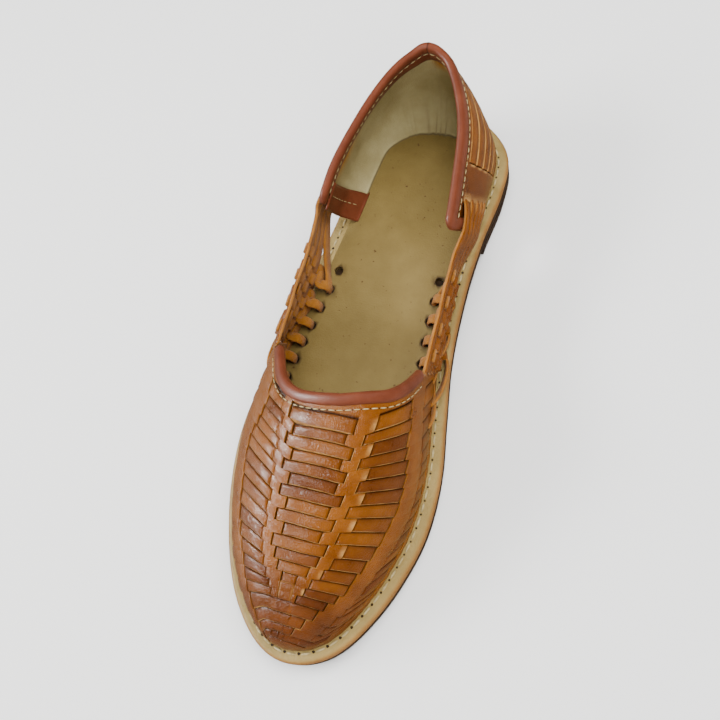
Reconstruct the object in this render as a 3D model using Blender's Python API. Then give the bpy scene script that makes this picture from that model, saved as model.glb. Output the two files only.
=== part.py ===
"""Woven leather huarache, right shoe: welted leather sole, hollow woven vamp and strip-laced counter.

Metres, +Z up, floor at z = 0. The toe points to -Y, the medial side is +X, and the origin is on the
floor under the middle of the sole's outline.
"""
import math
from bisect import bisect_right
from collections import namedtuple

import bmesh
import bpy
import numpy as np
from mathutils import Vector

# Driving dimensions of the sole
LENGTH = 0.285
BALL_WIDTH = 0.0995
HEEL_WIDTH = 0.0795
OUTSOLE = 0.004
MIDSOLE = 0.0045
INSOLE = 0.0018
HEEL_HEIGHT = 0.007
HEEL_INSET = 0.0008
TOE_SPRING = 0.004
WELT_WIDTH = 0.0055
EDGE_ROUND = 0.0014
GAP = 0.0003

# Driving dimensions of the upper
INSTEP_HEIGHT = 0.068
COLLAR_HEIGHT = 0.0755
WALL = 0.0021
COUNTER_FOOT = 0.003
COUNTER_REACH = 0.25
BINDING_WIDTH = 0.0054
BINDING_THICK = 0.0042
BINDING_LIFT = 0.04
BINDING_GAP = 0.0006
HEEL_BULGE = 0.0064
SIDE_BULGE = 0.0036
WEAVE_DEPTH = 0.0009
STRIP_DEPTH = 0.0007
STRIPS = 5

# Lacing holes of the insole
HOLES = 8
HOLE_RADIUS = 0.0021
HOLE_PITCH = 0.0099
HOLE_START = 0.3585
HOLE_MARGIN = 0.008

# Places along the shoe, as shares of its length from the heel
HEEL_BREAST = 0.27
SHANK_END = 0.56
SPRING_START = 0.78
LATERAL = -1
MEDIAL = 1

# The sole's outline: a row for each place, its half widths as shares of the named width
Edge = namedtuple("Edge", "along width lateral medial")
OUTLINE = (
    Edge(0.000, HEEL_WIDTH, 0.000, 0.000),
    Edge(0.012, HEEL_WIDTH, 0.235, 0.235),
    Edge(0.032, HEEL_WIDTH, 0.342, 0.342),
    Edge(0.085, HEEL_WIDTH, 0.478, 0.478),
    Edge(0.158, HEEL_WIDTH, 0.503, 0.496),
    Edge(0.260, HEEL_WIDTH, 0.506, 0.455),
    Edge(0.372, BALL_WIDTH, 0.445, 0.347),
    Edge(0.493, BALL_WIDTH, 0.513, 0.360),
    Edge(0.584, BALL_WIDTH, 0.541, 0.402),
    Edge(0.675, BALL_WIDTH, 0.552, 0.445),
    Edge(0.767, BALL_WIDTH, 0.511, 0.446),
    Edge(0.848, BALL_WIDTH, 0.434, 0.392),
    Edge(0.919, BALL_WIDTH, 0.328, 0.306),
    Edge(0.969, BALL_WIDTH, 0.202, 0.206),
    Edge(1.000, BALL_WIDTH, 0.000, 0.000),
)

# How far the upper's foot stands in from the sole's edge, as shares of the welt's width
Welt = namedtuple("Welt", "along lateral medial")
WELT = (
    Welt(0.00, 1.20, 1.20),
    Welt(0.10, 1.10, 1.10),
    Welt(0.25, 1.10, 0.95),
    Welt(0.45, 1.10, 0.95),
    Welt(0.60, 1.00, 1.05),
    Welt(0.80, 1.00, 1.10),
    Welt(1.00, 0.92, 0.92),
)

# The vamp's ridge and the fullness of the arch on each side of it
Ridge = namedtuple("Ridge", "along height across lateral_power medial_power")
RIDGE = (
    Ridge(0.468, 1.220, 0.090, 1.75, 3.4),
    Ridge(0.570, 1.090, 0.092, 1.75, 3.4),
    Ridge(0.652, 0.985, 0.090, 1.80, 3.1),
    Ridge(0.714, 0.905, 0.075, 1.90, 2.8),
    Ridge(0.795, 0.775, 0.045, 2.10, 2.5),
    Ridge(0.867, 0.650, 0.015, 2.25, 2.5),
    Ridge(0.918, 0.545, 0.000, 2.30, 2.5),
    Ridge(0.954, 0.435, -0.012, 2.30, 2.4),
    Ridge(0.974, 0.330, -0.018, 2.20, 2.2),
)

# The vamp's rear edge: the throat's U, then down and back to the welt beside the waist
Rear = namedtuple("Rear", "turn lateral medial")
REAR = (
    Rear(0.00, 0.657, 0.657),
    Rear(0.15, 0.660, 0.645),
    Rear(0.25, 0.656, 0.634),
    Rear(0.35, 0.642, 0.615),
    Rear(0.43, 0.620, 0.597),
    Rear(0.50, 0.591, 0.581),
    Rear(0.60, 0.565, 0.560),
    Rear(0.80, 0.535, 0.535),
    Rear(1.00, 0.509, 0.509),
)
THROAT_CORNER = 0.55
CORNER_CLEAR = 0.012

# The collar's top line, from the middle of the back to each front corner
Collar = namedtuple("Collar", "turn height lateral_along lateral medial_along medial")
COLLAR = (
    Collar(0.00, 1.000, 0.042, 0.000, 0.042, 0.000),
    Collar(0.05, 0.993, 0.0433, 0.030, 0.0433, 0.031),
    Collar(0.14, 0.967, 0.054, 0.078, 0.052, 0.082),
    Collar(0.28, 0.940, 0.078, 0.142, 0.075, 0.135),
    Collar(0.45, 0.905, 0.125, 0.210, 0.125, 0.200),
    Collar(0.62, 0.865, 0.185, 0.268, 0.180, 0.243),
    Collar(0.80, 0.800, 0.250, 0.325, 0.255, 0.266),
    Collar(1.00, 0.735, 0.320, 0.348, 0.338, 0.284),
)

# The weave: bands run lengthwise and stay on top, bars fill the panels between them
Panel = namedtuple("Panel", "start end")
PANELS = (
    Panel(-0.70, -0.40),
    Panel(-0.21, 0.13),
    Panel(0.28, 0.46),
    Panel(0.64, 0.84),
)
BAND_EDGE = 0.022
BARS = 15
BARS_START = 0.02
BARS_END = 0.645
TOE_BARS = 4
TOE_BARS_START = 0.73
TOE_BARS_END = 0.94
GROOVE_SHARE = 0.2
SLIT_BARS = (1, 2, 3, 4, 5, 6, 7)

# The counter's five strips, as shares of its height, and the slits that they pass through
STRIPS_LOW = 0.14
STRIPS_HIGH = 0.90
STRIP_GROOVE = 0.18
REAR_SLIT = 0.62
FRONT_SLIT = 0.85
SLIT_WIDTH = 0.03

# The open side straps: where they leave the counter, and the rungs that cross them
STRAPS_LOW = 0.36
STRAPS_HIGH = 0.86
STRAP_GAP = 0.24
STRAP_BULGE = 0.003
STRAP_LANDING = 0.42
STRAP_FALL = 1.2
RUNGS = 4
RUNGS_START = 0.38
RUNGS_END = 0.88
RUNG_WIDTH = 0.05


def smooth(knots, values, at):
    """Reads a smooth curve through the values at the knots."""
    last = len(knots) - 1
    steps = [knots[i + 1] - knots[i] for i in range(last)]
    slopes = [(values[i + 1] - values[i]) / steps[i] for i in range(last)]

    def tangent(k):
        if k in (0, last):
            return slopes[min(k, last - 1)]
        return (slopes[k - 1] * steps[k] + slopes[k] * steps[k - 1]) / (steps[k - 1] + steps[k])

    i = min(max(bisect_right(knots, at) - 1, 0), last - 1)
    p = min(max((at - knots[i]) / steps[i], 0.0), 1.0)
    start = values[i] * (1 + 2 * p) * (1 - p) ** 2 + tangent(i) * steps[i] * p * (1 - p) ** 2
    end = values[i + 1] * (3 - 2 * p) * p ** 2 - tangent(i + 1) * steps[i] * (1 - p) * p ** 2
    return start + end


def angle_of(along):
    """The outline is read by an angle, 0 at the back and pi at the toe, so that its ends are round."""
    return math.acos(min(max(1 - 2 * along, -1.0), 1.0))


def share_of(angle):
    return (1 - math.cos(angle)) / 2


def y_of(along):
    return LENGTH * (0.5 - along)


def along_of(y):
    return 0.5 - y / LENGTH


OUTLINE_ANGLES = [angle_of(row.along) for row in OUTLINE]
HALF_WIDTHS = {
    LATERAL: [row.lateral * row.width for row in OUTLINE],
    MEDIAL: [row.medial * row.width for row in OUTLINE],
}
OUTLINE_SAMPLES = 200


def widest(side):
    places = [math.pi * i / OUTLINE_SAMPLES for i in range(OUTLINE_SAMPLES + 1)]
    return max(smooth(OUTLINE_ANGLES, HALF_WIDTHS[side], angle) for angle in places)


CENTRE = (widest(LATERAL) - widest(MEDIAL)) / 2


def sole_edge(angle):
    """A point of the sole's edge in plan. A negative angle is on the lateral side."""
    if angle > math.pi:
        angle -= 2 * math.pi
    if angle < -math.pi:
        angle += 2 * math.pi
    side = MEDIAL if angle > 0 else LATERAL
    across = smooth(OUTLINE_ANGLES, HALF_WIDTHS[side], abs(angle))
    return CENTRE + side * across, y_of(share_of(abs(angle)))


def inset_edge(angle, inset):
    """The sole's edge moved in by a distance, square to the edge."""
    nudge = 0.01
    x, y = sole_edge(angle)
    x_before, y_before = sole_edge(angle - nudge)
    x_after, y_after = sole_edge(angle + nudge)
    run = math.hypot(x_after - x_before, y_after - y_before)
    return x + (y_after - y_before) / run * inset, y - (x_after - x_before) / run * inset


def welt_width(angle):
    shares = [row.medial if angle > 0 else row.lateral for row in WELT]
    return WELT_WIDTH * smooth([row.along for row in WELT], shares, share_of(abs(angle)))


def foot_edge(angle, inward=0.0):
    """The line where the upper stands on the welt."""
    return inset_edge(angle, welt_width(angle) + inward)


def lift(along):
    """Height of the outsole's underside: heel seat, shank, flat forefoot and toe spring."""
    if along < HEEL_BREAST:
        return HEEL_HEIGHT
    if along < SHANK_END:
        drop = (along - HEEL_BREAST) / (SHANK_END - HEEL_BREAST)
        return HEEL_HEIGHT * (1 + math.cos(math.pi * drop)) / 2
    if along < SPRING_START:
        return 0.0
    return TOE_SPRING * ((along - SPRING_START) / (1 - SPRING_START)) ** 2


def midsole_low(along):
    return lift(along) + OUTSOLE + GAP


def welt_top(along):
    return midsole_low(along) + MIDSOLE


def upper_foot(along):
    return welt_top(along) + GAP


# The upper's shapes

FOOT_SAMPLES = 240
FOOT_LINES = {}
for foot_side in (LATERAL, MEDIAL):
    line = [foot_edge(foot_side * math.pi * i / FOOT_SAMPLES) for i in range(1, FOOT_SAMPLES + 1)]
    FOOT_LINES[foot_side] = ([y for x, y in reversed(line)], [x for x, y in reversed(line)])
TOE_Y = foot_edge(math.pi)[1]
RIDGE_ROOTS = [math.sqrt(along_of(TOE_Y) - row.along) for row in reversed(RIDGE)]


def ridge_value(name, along, at_toe):
    """Reads a column of the ridge by the root of the distance to the toe, so that the toe is round."""
    root = math.sqrt(max(along_of(TOE_Y) - along, 0.0))
    column = [getattr(row, name) for row in reversed(RIDGE)]
    return smooth([0.0] + RIDGE_ROOTS, [at_toe] + column, root)


def vamp_section(y):
    """The arch across the shoe at one place: its points from each foot to the ridge."""
    along = along_of(y)
    foot_z = upper_foot(along)
    toe_x = foot_edge(math.pi)[0]
    ridge_x = CENTRE + BALL_WIDTH * ridge_value("across", along, (toe_x - CENTRE) / BALL_WIDTH)
    ridge_z = INSTEP_HEIGHT * ridge_value("height", along, upper_foot(along_of(TOE_Y)) / INSTEP_HEIGHT)
    halves = {}
    for side, name in ((LATERAL, "lateral_power"), (MEDIAL, "medial_power")):
        power = ridge_value(name, along, 2.0)
        foot_x = float(np.interp(y, *FOOT_LINES[side]))
        points = []
        for i in range(25):
            swing = math.pi / 2 * i / 24
            x = ridge_x + (foot_x - ridge_x) * math.sin(swing) ** (2 / power)
            z = foot_z + (ridge_z - foot_z) * math.cos(swing) ** (2 / power)
            points.append(Vector((x, y, z)))
        halves[side] = points
    return halves


def vamp_point(along, turn):
    """A point of the vamp's outer face: turn is -1 at the lateral foot, 0 on the ridge, 1 at the medial."""
    side = MEDIAL if turn > 0 else LATERAL
    points = vamp_section(y_of(along))[side]
    runs = np.cumsum([0.0] + [(b - a).length for a, b in zip(points, points[1:])])
    at = abs(turn) * runs[-1]
    return Vector([float(np.interp(at, runs, [p[axis] for p in points])) for axis in range(3)])


def rear_along(turn):
    shares = [row.medial if turn > 0 else row.lateral for row in REAR]
    return smooth([row.turn for row in REAR], shares, abs(turn))


RIDGE_SAMPLES = 80
RIDGE_PLACES = np.linspace(rear_along(0), along_of(TOE_Y), RIDGE_SAMPLES)
RIDGE_LINE = [vamp_point(place, 0.0) for place in RIDGE_PLACES]
RIDGE_RUNS = np.cumsum([0.0] + [(b - a).length for a, b in zip(RIDGE_LINE, RIDGE_LINE[1:])])


def vamp_along(row, turn):
    """Place along the shoe of a row of the weave: rows start along the rear edge and straighten."""
    middle = float(np.interp(row * RIDGE_RUNS[-1], RIDGE_RUNS, RIDGE_PLACES))
    return middle + (rear_along(turn) - rear_along(0)) * (1 - row) ** 1.4


def weave_point(row, turn):
    return vamp_point(vamp_along(row, turn), turn)


def normal_at(surface, a, b, nudge=0.002):
    """The outward normal of a surface of two values."""
    along_a = surface(a + nudge, b) - surface(a - nudge, b)
    along_b = surface(a, b + nudge) - surface(a, b - nudge)
    return along_a.cross(along_b).normalized()


def counter_point(turn, rise):
    """A point of the counter's outer face: turn is -1 at the lateral front, 0 behind, 1 at the medial."""
    side = MEDIAL if turn > 0 else LATERAL
    reach = abs(turn)
    angle = side * max(reach, 1e-6) * angle_of(COUNTER_REACH)
    foot_x, foot_y = foot_edge(angle)
    foot = Vector((foot_x, foot_y, upper_foot(along_of(foot_y))))
    turns = [row.turn for row in COLLAR]
    across = smooth(turns, [row.medial if side == MEDIAL else row.lateral for row in COLLAR], reach)
    along = smooth(turns, [row.medial_along if side == MEDIAL else row.lateral_along for row in COLLAR], reach)
    height = smooth(turns, [row.height for row in COLLAR], reach)
    top = Vector((CENTRE + side * BALL_WIDTH * across, y_of(along), COLLAR_HEIGHT * height))
    edge_x, edge_y = sole_edge(angle)
    outward = Vector((edge_x - foot_x, edge_y - foot_y, 0)).normalized()
    bulge = SIDE_BULGE + (HEEL_BULGE - SIDE_BULGE) * max(1 - reach / 0.6, 0.0)
    return foot.lerp(top, rise) + outward * bulge * 4 * rise * (1 - rise) * (1.25 - 0.5 * rise)


# Building blocks

def make_material(name, colour, roughness):
    material = bpy.data.materials.new(name)
    material.use_nodes = True
    shader = material.node_tree.nodes["Principled BSDF"]
    shader.inputs["Base Color"].default_value = (*colour, 1)
    shader.inputs["Roughness"].default_value = roughness
    shader.inputs["Metallic"].default_value = 0.0
    return material


def add_object(name, mesh, material):
    mesh.materials.append(material)
    shoe = bpy.data.objects.new(name, mesh)
    bpy.data.collections["huarache"].objects.link(shoe)
    return shoe


def mesh_from_rows(name, rows, closed_ring, ends_capped):
    """Joins rows of points with faces, welds what meets, and caps the ends."""
    shape = bmesh.new()
    grid = [[shape.verts.new(point) for point in row] for row in rows]
    count = len(rows[0])
    for first, second in zip(grid, grid[1:]):
        for j in range(count if closed_ring else count - 1):
            k = (j + 1) % count
            shape.faces.new((first[j], first[k], second[k], second[j]))
    if ends_capped:
        shape.faces.new(reversed(grid[0]))
        shape.faces.new(grid[-1])
    bmesh.ops.remove_doubles(shape, verts=shape.verts, dist=2e-6)
    bmesh.ops.dissolve_degenerate(shape, edges=shape.edges, dist=2e-6)
    bmesh.ops.recalc_face_normals(shape, faces=shape.faces)
    mesh = bpy.data.meshes.new(name)
    shape.to_mesh(mesh)
    shape.free()
    mesh.shade_smooth()
    mesh.set_sharp_from_angle(angle=math.radians(35))
    return mesh


def shell(name, outer, inner, material, missing=()):
    """A wall between two grids of points, with some of its cells left out."""
    shape = bmesh.new()
    rows = len(outer)
    count = len(outer[0])
    skins = [[[shape.verts.new(point) for point in row] for row in skin] for skin in (outer, inner)]

    def solid(i, j):
        return 0 <= i < rows - 1 and 0 <= j < count - 1 and (i, j) not in missing

    def corners(skin, *places):
        return [skins[skin][i][j] for i, j in places]

    for i in range(rows - 1):
        for j in range(count - 1):
            if not solid(i, j):
                continue
            shape.faces.new(corners(0, (i, j), (i, j + 1), (i + 1, j + 1), (i + 1, j)))
            shape.faces.new(corners(1, (i, j), (i + 1, j), (i + 1, j + 1), (i, j + 1)))
            sides = (
                ((i - 1, j), (i, j), (i, j + 1)),
                ((i + 1, j), (i + 1, j + 1), (i + 1, j)),
                ((i, j - 1), (i + 1, j), (i, j)),
                ((i, j + 1), (i, j + 1), (i + 1, j + 1)),
            )
            for beside, start, end in sides:
                if not solid(*beside):
                    shape.faces.new(corners(0, end, start) + corners(1, start, end))
    loose = [vert for vert in shape.verts if not vert.link_faces]
    bmesh.ops.delete(shape, geom=loose, context="VERTS")
    bmesh.ops.remove_doubles(shape, verts=shape.verts, dist=2e-6)
    bmesh.ops.dissolve_degenerate(shape, edges=shape.edges, dist=2e-6)
    bmesh.ops.recalc_face_normals(shape, faces=shape.faces)
    mesh = bpy.data.meshes.new(name)
    shape.to_mesh(mesh)
    shape.free()
    mesh.shade_smooth()
    mesh.set_sharp_from_angle(angle=math.radians(40))
    return add_object(name, mesh, material)


def slab(name, side_profile, low, high, angles, material, open_end=False):
    """A flat piece of the sole: a side profile of (inset, share of height) run round the outline."""
    def at(angle, inset, share):
        x, y = inset(angle) if callable(inset) else inset_edge(angle, inset)
        along = along_of(y)
        return Vector((x, y, low(along) + (high(along) - low(along)) * share))

    rows = []
    for angle in angles:
        lateral = [at(-angle, inset, share) for inset, share in side_profile]
        medial = [at(angle, inset, share) for inset, share in side_profile]
        top = lateral[-1].lerp(medial[-1], 0.5)
        bottom = lateral[0].lerp(medial[0], 0.5)
        rows.append(lateral + [top] + list(reversed(medial)) + [bottom])
    mesh = mesh_from_rows(name, rows, True, False)
    if open_end:
        shape = bmesh.new()
        shape.from_mesh(mesh)
        bmesh.ops.holes_fill(shape, edges=shape.edges)
        bmesh.ops.recalc_face_normals(shape, faces=shape.faces)
        shape.to_mesh(mesh)
        shape.free()
    return add_object(name, mesh, material)


def binding(name, edge_points, outwards, normals, material):
    """A rolled leather edge: a rounded bar laid along the wall's edge, just clear of it."""
    section = ((0.0, -0.36), (0.5, -0.5), (0.88, -0.36), (1.0, 0.0), (0.88, 0.36), (0.5, 0.5), (0.0, 0.36))
    rows = []
    for point, outward, normal in zip(edge_points, outwards, normals):
        centre = point - normal * WALL / 2
        rows.append([
            centre + outward * (BINDING_GAP + reach * BINDING_WIDTH) + normal * thick * BINDING_THICK
            for reach, thick in section
        ])
    return add_object(name, mesh_from_rows(name, rows, True, True), material)


# The pieces of the sole

SOLE_STATIONS = 34


def sole_angles(start=0.0, end=math.pi, count=SOLE_STATIONS):
    return [start + (end - start) * i / count for i in range(count + 1)]


def make_heel_block(material):
    profile = ((HEEL_INSET, 0.0), (0.0, 0.45), (0.0, 1.0))
    angles = sole_angles(0.0, angle_of(HEEL_BREAST - 0.01), 14)
    return slab("heel_block", profile, lambda along: 0.0, lambda along: lift(along) - GAP, angles, material, True)


def make_outsole(material):
    profile = ((EDGE_ROUND / 2, 0.0), (0.0, 0.25), (0.0, 1.0))
    return slab("outsole", profile, lift, lambda along: lift(along) + OUTSOLE, sole_angles(), material)


def make_midsole(material):
    profile = ((0.0003, 0.0), (0.0, 0.3), (EDGE_ROUND * 0.2, 0.75), (EDGE_ROUND, 1.0))
    return slab("midsole", profile, midsole_low, welt_top, sole_angles(), material)


def hole_place(side, number):
    """The middle of a lacing hole: the row follows the insole's edge at the waist."""
    along = HOLE_START + number * HOLE_PITCH / LENGTH
    x, y = foot_edge(side * angle_of(along), HOLE_MARGIN)
    return x, y


def make_insole(material):
    def insole_edge(angle):
        heel = min(max(1 - share_of(abs(angle)) / COUNTER_REACH, 0.0) * 3, 1.0)
        beside_binding = (WALL + BINDING_THICK) / 2 + 2 * GAP
        beside_counter = COUNTER_FOOT + 3 * GAP
        return foot_edge(angle, beside_binding + (beside_counter - beside_binding) * heel)

    profile = ((insole_edge, 0.0), (insole_edge, 1.0))
    low = lambda along: welt_top(along) + GAP
    high = lambda along: low(along) + INSOLE
    insole = slab("insole", profile, low, high, sole_angles(), material)
    for side in (LATERAL, MEDIAL):
        for number in range(HOLES):
            x, y = hole_place(side, number)
            bpy.ops.mesh.primitive_cylinder_add(
                vertices=8, radius=HOLE_RADIUS, depth=8 * INSOLE, location=(x, y, low(along_of(y))))
            punch = bpy.context.object
            punch.name = f"punch_{'lateral' if side == LATERAL else 'medial'}_{number + 1}"
            punch.hide_render = True
            punch.display_type = "WIRE"
            bpy.context.collection.objects.unlink(punch)
            bpy.data.collections["cutters"].objects.link(punch)
            cut = insole.modifiers.new(punch.name, "BOOLEAN")
            cut.operation = "DIFFERENCE"
            cut.object = punch
    return insole


# The pieces of the upper

def inner_normal(surface, a, b, low, high):
    """The normal read just inside the surface's own ends, and just off its middle line."""
    b = min(max(b, low[1]), high[1])
    a = min(max(a, low[0]), high[0])
    return normal_at(surface, a, b)


def weave_normal(row, turn):
    if abs(turn) < 0.004:
        turn = 0.004
    return inner_normal(weave_point, row, turn, (0.004, -0.995), (0.985, 0.995))


def weave_columns():
    """Turns of the weave's columns, with whether each is on a bar, at a panel's edge, or on a band."""
    columns = {-1.0: "band", -0.86: "band", THROAT_CORNER: "band", 1.0: "band"}
    for panel in PANELS:
        columns[panel.start - BAND_EDGE] = "band"
        columns[panel.start] = "edge"
        columns[(panel.start + panel.end) / 2] = "bar"
        columns[panel.end] = "edge"
        columns[panel.end + BAND_EDGE] = "band"
    return sorted(columns.items())


def weave_rows():
    """Rows of the weave: the grooves between the bars, and the two edges of each bar."""
    rows = [(0.0, "flat")]
    for count, start, end in ((BARS, BARS_START, BARS_END), (TOE_BARS, TOE_BARS_START, TOE_BARS_END)):
        pitch = (end - start) / count
        for bar in range(count):
            rows.append((start + pitch * bar, "groove"))
            rows.append((start + pitch * (bar + GROOVE_SHARE), "bar"))
            rows.append((start + pitch * (bar + 1 - GROOVE_SHARE), "bar"))
        rows.append((end, "groove"))
    rows.append((0.985, "flat"))
    rows.append((1.0, "flat"))
    return rows


def weave_sink(row_kind, column_kind):
    """How deep a point of the weave lies under the bands."""
    if column_kind == "band" or row_kind == "flat":
        return 0.0
    if row_kind == "groove":
        return WEAVE_DEPTH
    return WEAVE_DEPTH * 0.6 if column_kind == "edge" else 0.0


def make_vamp(material):
    rows = weave_rows()
    columns = weave_columns()
    outer = []
    inner = []
    for row, row_kind in rows:
        points = [weave_point(row, turn) for turn, kind in columns]
        normals = [weave_normal(row, turn) for turn, kind in columns]
        sinks = [weave_sink(row_kind, kind) for turn, kind in columns]
        outer.append([point - normal * sink for point, normal, sink in zip(points, normals, sinks)])
        inner_row = [point - normal * (sink + WALL) for point, normal, sink in zip(points, normals, sinks)]
        inner_row[0].z = points[0].z
        inner_row[-1].z = points[-1].z
        inner.append(inner_row)
    slit_panel = PANELS[-1]
    turns = [turn for turn, kind in columns]
    slit_columns = range(turns.index(slit_panel.start), turns.index(slit_panel.end))
    missing = {(3 * bar, j) for bar in SLIT_BARS for j in slit_columns}
    return shell("vamp", outer, inner, material, missing)


def counter_grid(turn, rise):
    """A point of the counter inside its binding: turn and rise run to the binding's inner edge."""
    side = 1 if turn > 0 else -1
    nudge = 0.01
    front_run = (counter_point(side, rise) - counter_point(side * (1 - nudge), rise)).length / nudge
    top_run = (counter_point(turn, 1) - counter_point(turn, 1 - nudge)).length / nudge
    return counter_point(turn * (1 - BINDING_WIDTH / front_run), rise * (1 - BINDING_WIDTH / top_run))


def counter_normal(turn, rise):
    if abs(turn) < 0.004:
        turn = 0.004
    return -inner_normal(counter_grid, turn, rise, (-0.99, 0.01), (0.99, 0.98))


def counter_columns():
    """Turns of the counter's columns: the back, a rear slit, the plain keeper, a front slit, the front."""
    half = [(0.09, "strip"), (0.19, "strip"), (0.31, "strip"), (0.46, "strip"), (REAR_SLIT, "strip")]
    half += [(REAR_SLIT + SLIT_WIDTH / 2, "slit"), (REAR_SLIT + SLIT_WIDTH, "plain")]
    half += [(FRONT_SLIT - SLIT_WIDTH, "plain"), (FRONT_SLIT - SLIT_WIDTH / 2, "slit")]
    half += [(FRONT_SLIT, "strip"), (1.0, "strip")]
    return [(-turn, kind) for turn, kind in reversed(half)] + [(0.0, "strip")] + half


def counter_rows():
    rows = [(0.0, "margin"), (0.07, "margin")]
    pitch = (STRIPS_HIGH - STRIPS_LOW) / STRIPS
    for strip in range(STRIPS):
        rows.append((STRIPS_LOW + pitch * strip, "groove"))
        rows.append((STRIPS_LOW + pitch * (strip + STRIP_GROOVE), "strip"))
        rows.append((STRIPS_LOW + pitch * (strip + 1 - STRIP_GROOVE), "strip"))
    return rows + [(STRIPS_HIGH, "groove"), (1.0, "margin")]


def counter_sink(row_kind, column_kind):
    if row_kind == "margin" or column_kind == "plain":
        return 0.0
    return STRIP_DEPTH if row_kind == "groove" or column_kind == "slit" else 0.0


def make_counter(material):
    outer = []
    inner = []
    for rise, row_kind in counter_rows():
        foot = max(1 - rise / 0.4, 0.0) ** 2
        wall = WALL + (COUNTER_FOOT - WALL) * foot
        outer_row = []
        inner_row = []
        for turn, column_kind in counter_columns():
            point = counter_grid(turn, rise)
            normal = counter_normal(turn, rise)
            level = Vector((normal.x, normal.y, 0)).normalized() if foot else normal
            outer_row.append(point - normal * counter_sink(row_kind, column_kind))
            inner_row.append(point - level.lerp(normal, 1 - foot).normalized() * wall)
        outer.append(outer_row)
        inner.append(inner_row)
    return shell("counter", outer, inner, material)


def make_throat_binding(material):
    reach = THROAT_CORNER - CORNER_CLEAR
    turns = [-reach] + [turn for turn, kind in weave_columns() if abs(turn) < reach] + [reach]
    steps = len(turns) - 1
    points = [weave_point(0.0, turn) for turn in turns]
    normals = [weave_normal(0.0, turn) for turn in turns]
    outwards = []
    for i, (point, normal) in enumerate(zip(points, normals)):
        tangent = points[min(i + 1, steps)] - points[max(i - 1, 0)]
        outwards.append(normal.cross(tangent).normalized())
    return binding("throat_binding", points, outwards, normals, material)


def make_collar_binding(material):
    corner_steps = 4
    nudge = 0.01
    points = []
    outwards = []
    normals = []

    def add(turn, rise, outward):
        normal = counter_normal(turn, rise)
        flat = outward - normal * outward.dot(normal)
        points.append(counter_grid(turn, rise))
        normals.append(normal)
        outwards.append(flat.normalized())

    def front(side, rise):
        return (counter_grid(side, rise) - counter_grid(side * (1 - nudge), rise)).normalized()

    def upward(turn):
        return (counter_grid(turn, 1) - counter_grid(turn, 1 - nudge)).normalized()

    def corner(side, step):
        return front(side, 1.0).slerp(upward(side), step / corner_steps)

    rises = [BINDING_LIFT] + [rise for rise, kind in counter_rows() if kind != "strip" and rise > BINDING_LIFT]
    for rise in rises:
        add(LATERAL, rise, front(LATERAL, rise))
    for step in range(1, corner_steps):
        add(LATERAL, 1.0, corner(LATERAL, step))
    for turn, kind in counter_columns():
        add(turn, 1.0, upward(turn))
    for step in reversed(range(1, corner_steps)):
        add(MEDIAL, 1.0, corner(MEDIAL, step))
    for rise in reversed(rises):
        add(MEDIAL, rise, front(MEDIAL, rise))
    return binding("collar_binding", points, outwards, normals, material)


def make_straps(name, side, material):
    """The five straps of one side: they leave the counter, land on the welt and end at the vamp."""
    reach = BINDING_WIDTH + 3 * GAP
    start_along = along_of(counter_grid(side, STRAPS_LOW).y) + reach / LENGTH
    end_along = rear_along(1.0)

    def start(share):
        rise = STRAPS_LOW + (STRAPS_HIGH - STRAPS_LOW) * share
        forward = (counter_grid(side, rise) - counter_grid(side * 0.99, rise)).normalized()
        return counter_grid(side, rise) + forward * reach

    def end(share):
        turn = side * (1 - (1 - THROAT_CORNER - CORNER_CLEAR) * share)
        back = (weave_point(0.0, turn) - weave_point(0.01, turn)).normalized()
        return weave_point(0.0, turn) + back * 2 * GAP

    def foot(place):
        along = start_along + (end_along - start_along) * place
        x, y = foot_edge(side * angle_of(along))
        return Vector((x, y, upper_foot(along)))

    def low_line(place):
        left = max(1 - place / STRAP_LANDING, 0.0) ** STRAP_FALL
        arrive = max(place - 0.8, 0.0) / 0.2
        return foot(place) + (start(0.0) - foot(0.0)) * left + (end(0.0) - foot(1.0)) * arrive

    def point(place, share):
        top = start(1.0).lerp(end(1.0), place)
        base = low_line(place).lerp(top, share)
        across = start(share).lerp(end(share), place)
        blend = (1 - place) * max(1 - place * 4, 0.0) + max(place * 4 - 3, 0.0)
        bulge = STRAP_BULGE * 4 * share * (1 - share) * 4 * place * (1 - place)
        return base.lerp(across, blend) + Vector((side * bulge, 0, 0))

    pitch = (RUNGS_END - RUNGS_START - RUNG_WIDTH) / (RUNGS - 1)
    places = [0.0, 0.05, 0.17, 0.28]
    rung_cells = {0}
    for rung in range(RUNGS):
        rung_cells.add(len(places))
        places += [RUNGS_START + pitch * rung, RUNGS_START + pitch * rung + RUNG_WIDTH]
    rung_cells.add(len(places))
    places += [0.95, 1.0]
    shares = []
    for strip in range(STRIPS):
        width = 1 / (STRIPS + (STRIPS - 1) * STRAP_GAP)
        low = strip * width * (1 + STRAP_GAP)
        shares += [low, low + width]
    outer = [[point(place, share) for place in places] for share in shares]
    inner = []
    for share in shares:
        row = []
        for place in places:
            normal = inner_normal(point, place, share, (0.01, 0.01), (0.99, 0.99)) * -side
            level = Vector((normal.x, normal.y, 0)).normalized()
            row.append(point(place, share) - level.lerp(normal, min(share * 2, 1.0)).normalized() * WALL)
        inner.append(row)
    gaps = range(1, 2 * STRIPS - 1, 2)
    missing = {(i, j) for i in gaps for j in range(len(places) - 1) if j not in rung_cells}
    return shell(name, outer, inner, material, missing)


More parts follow.
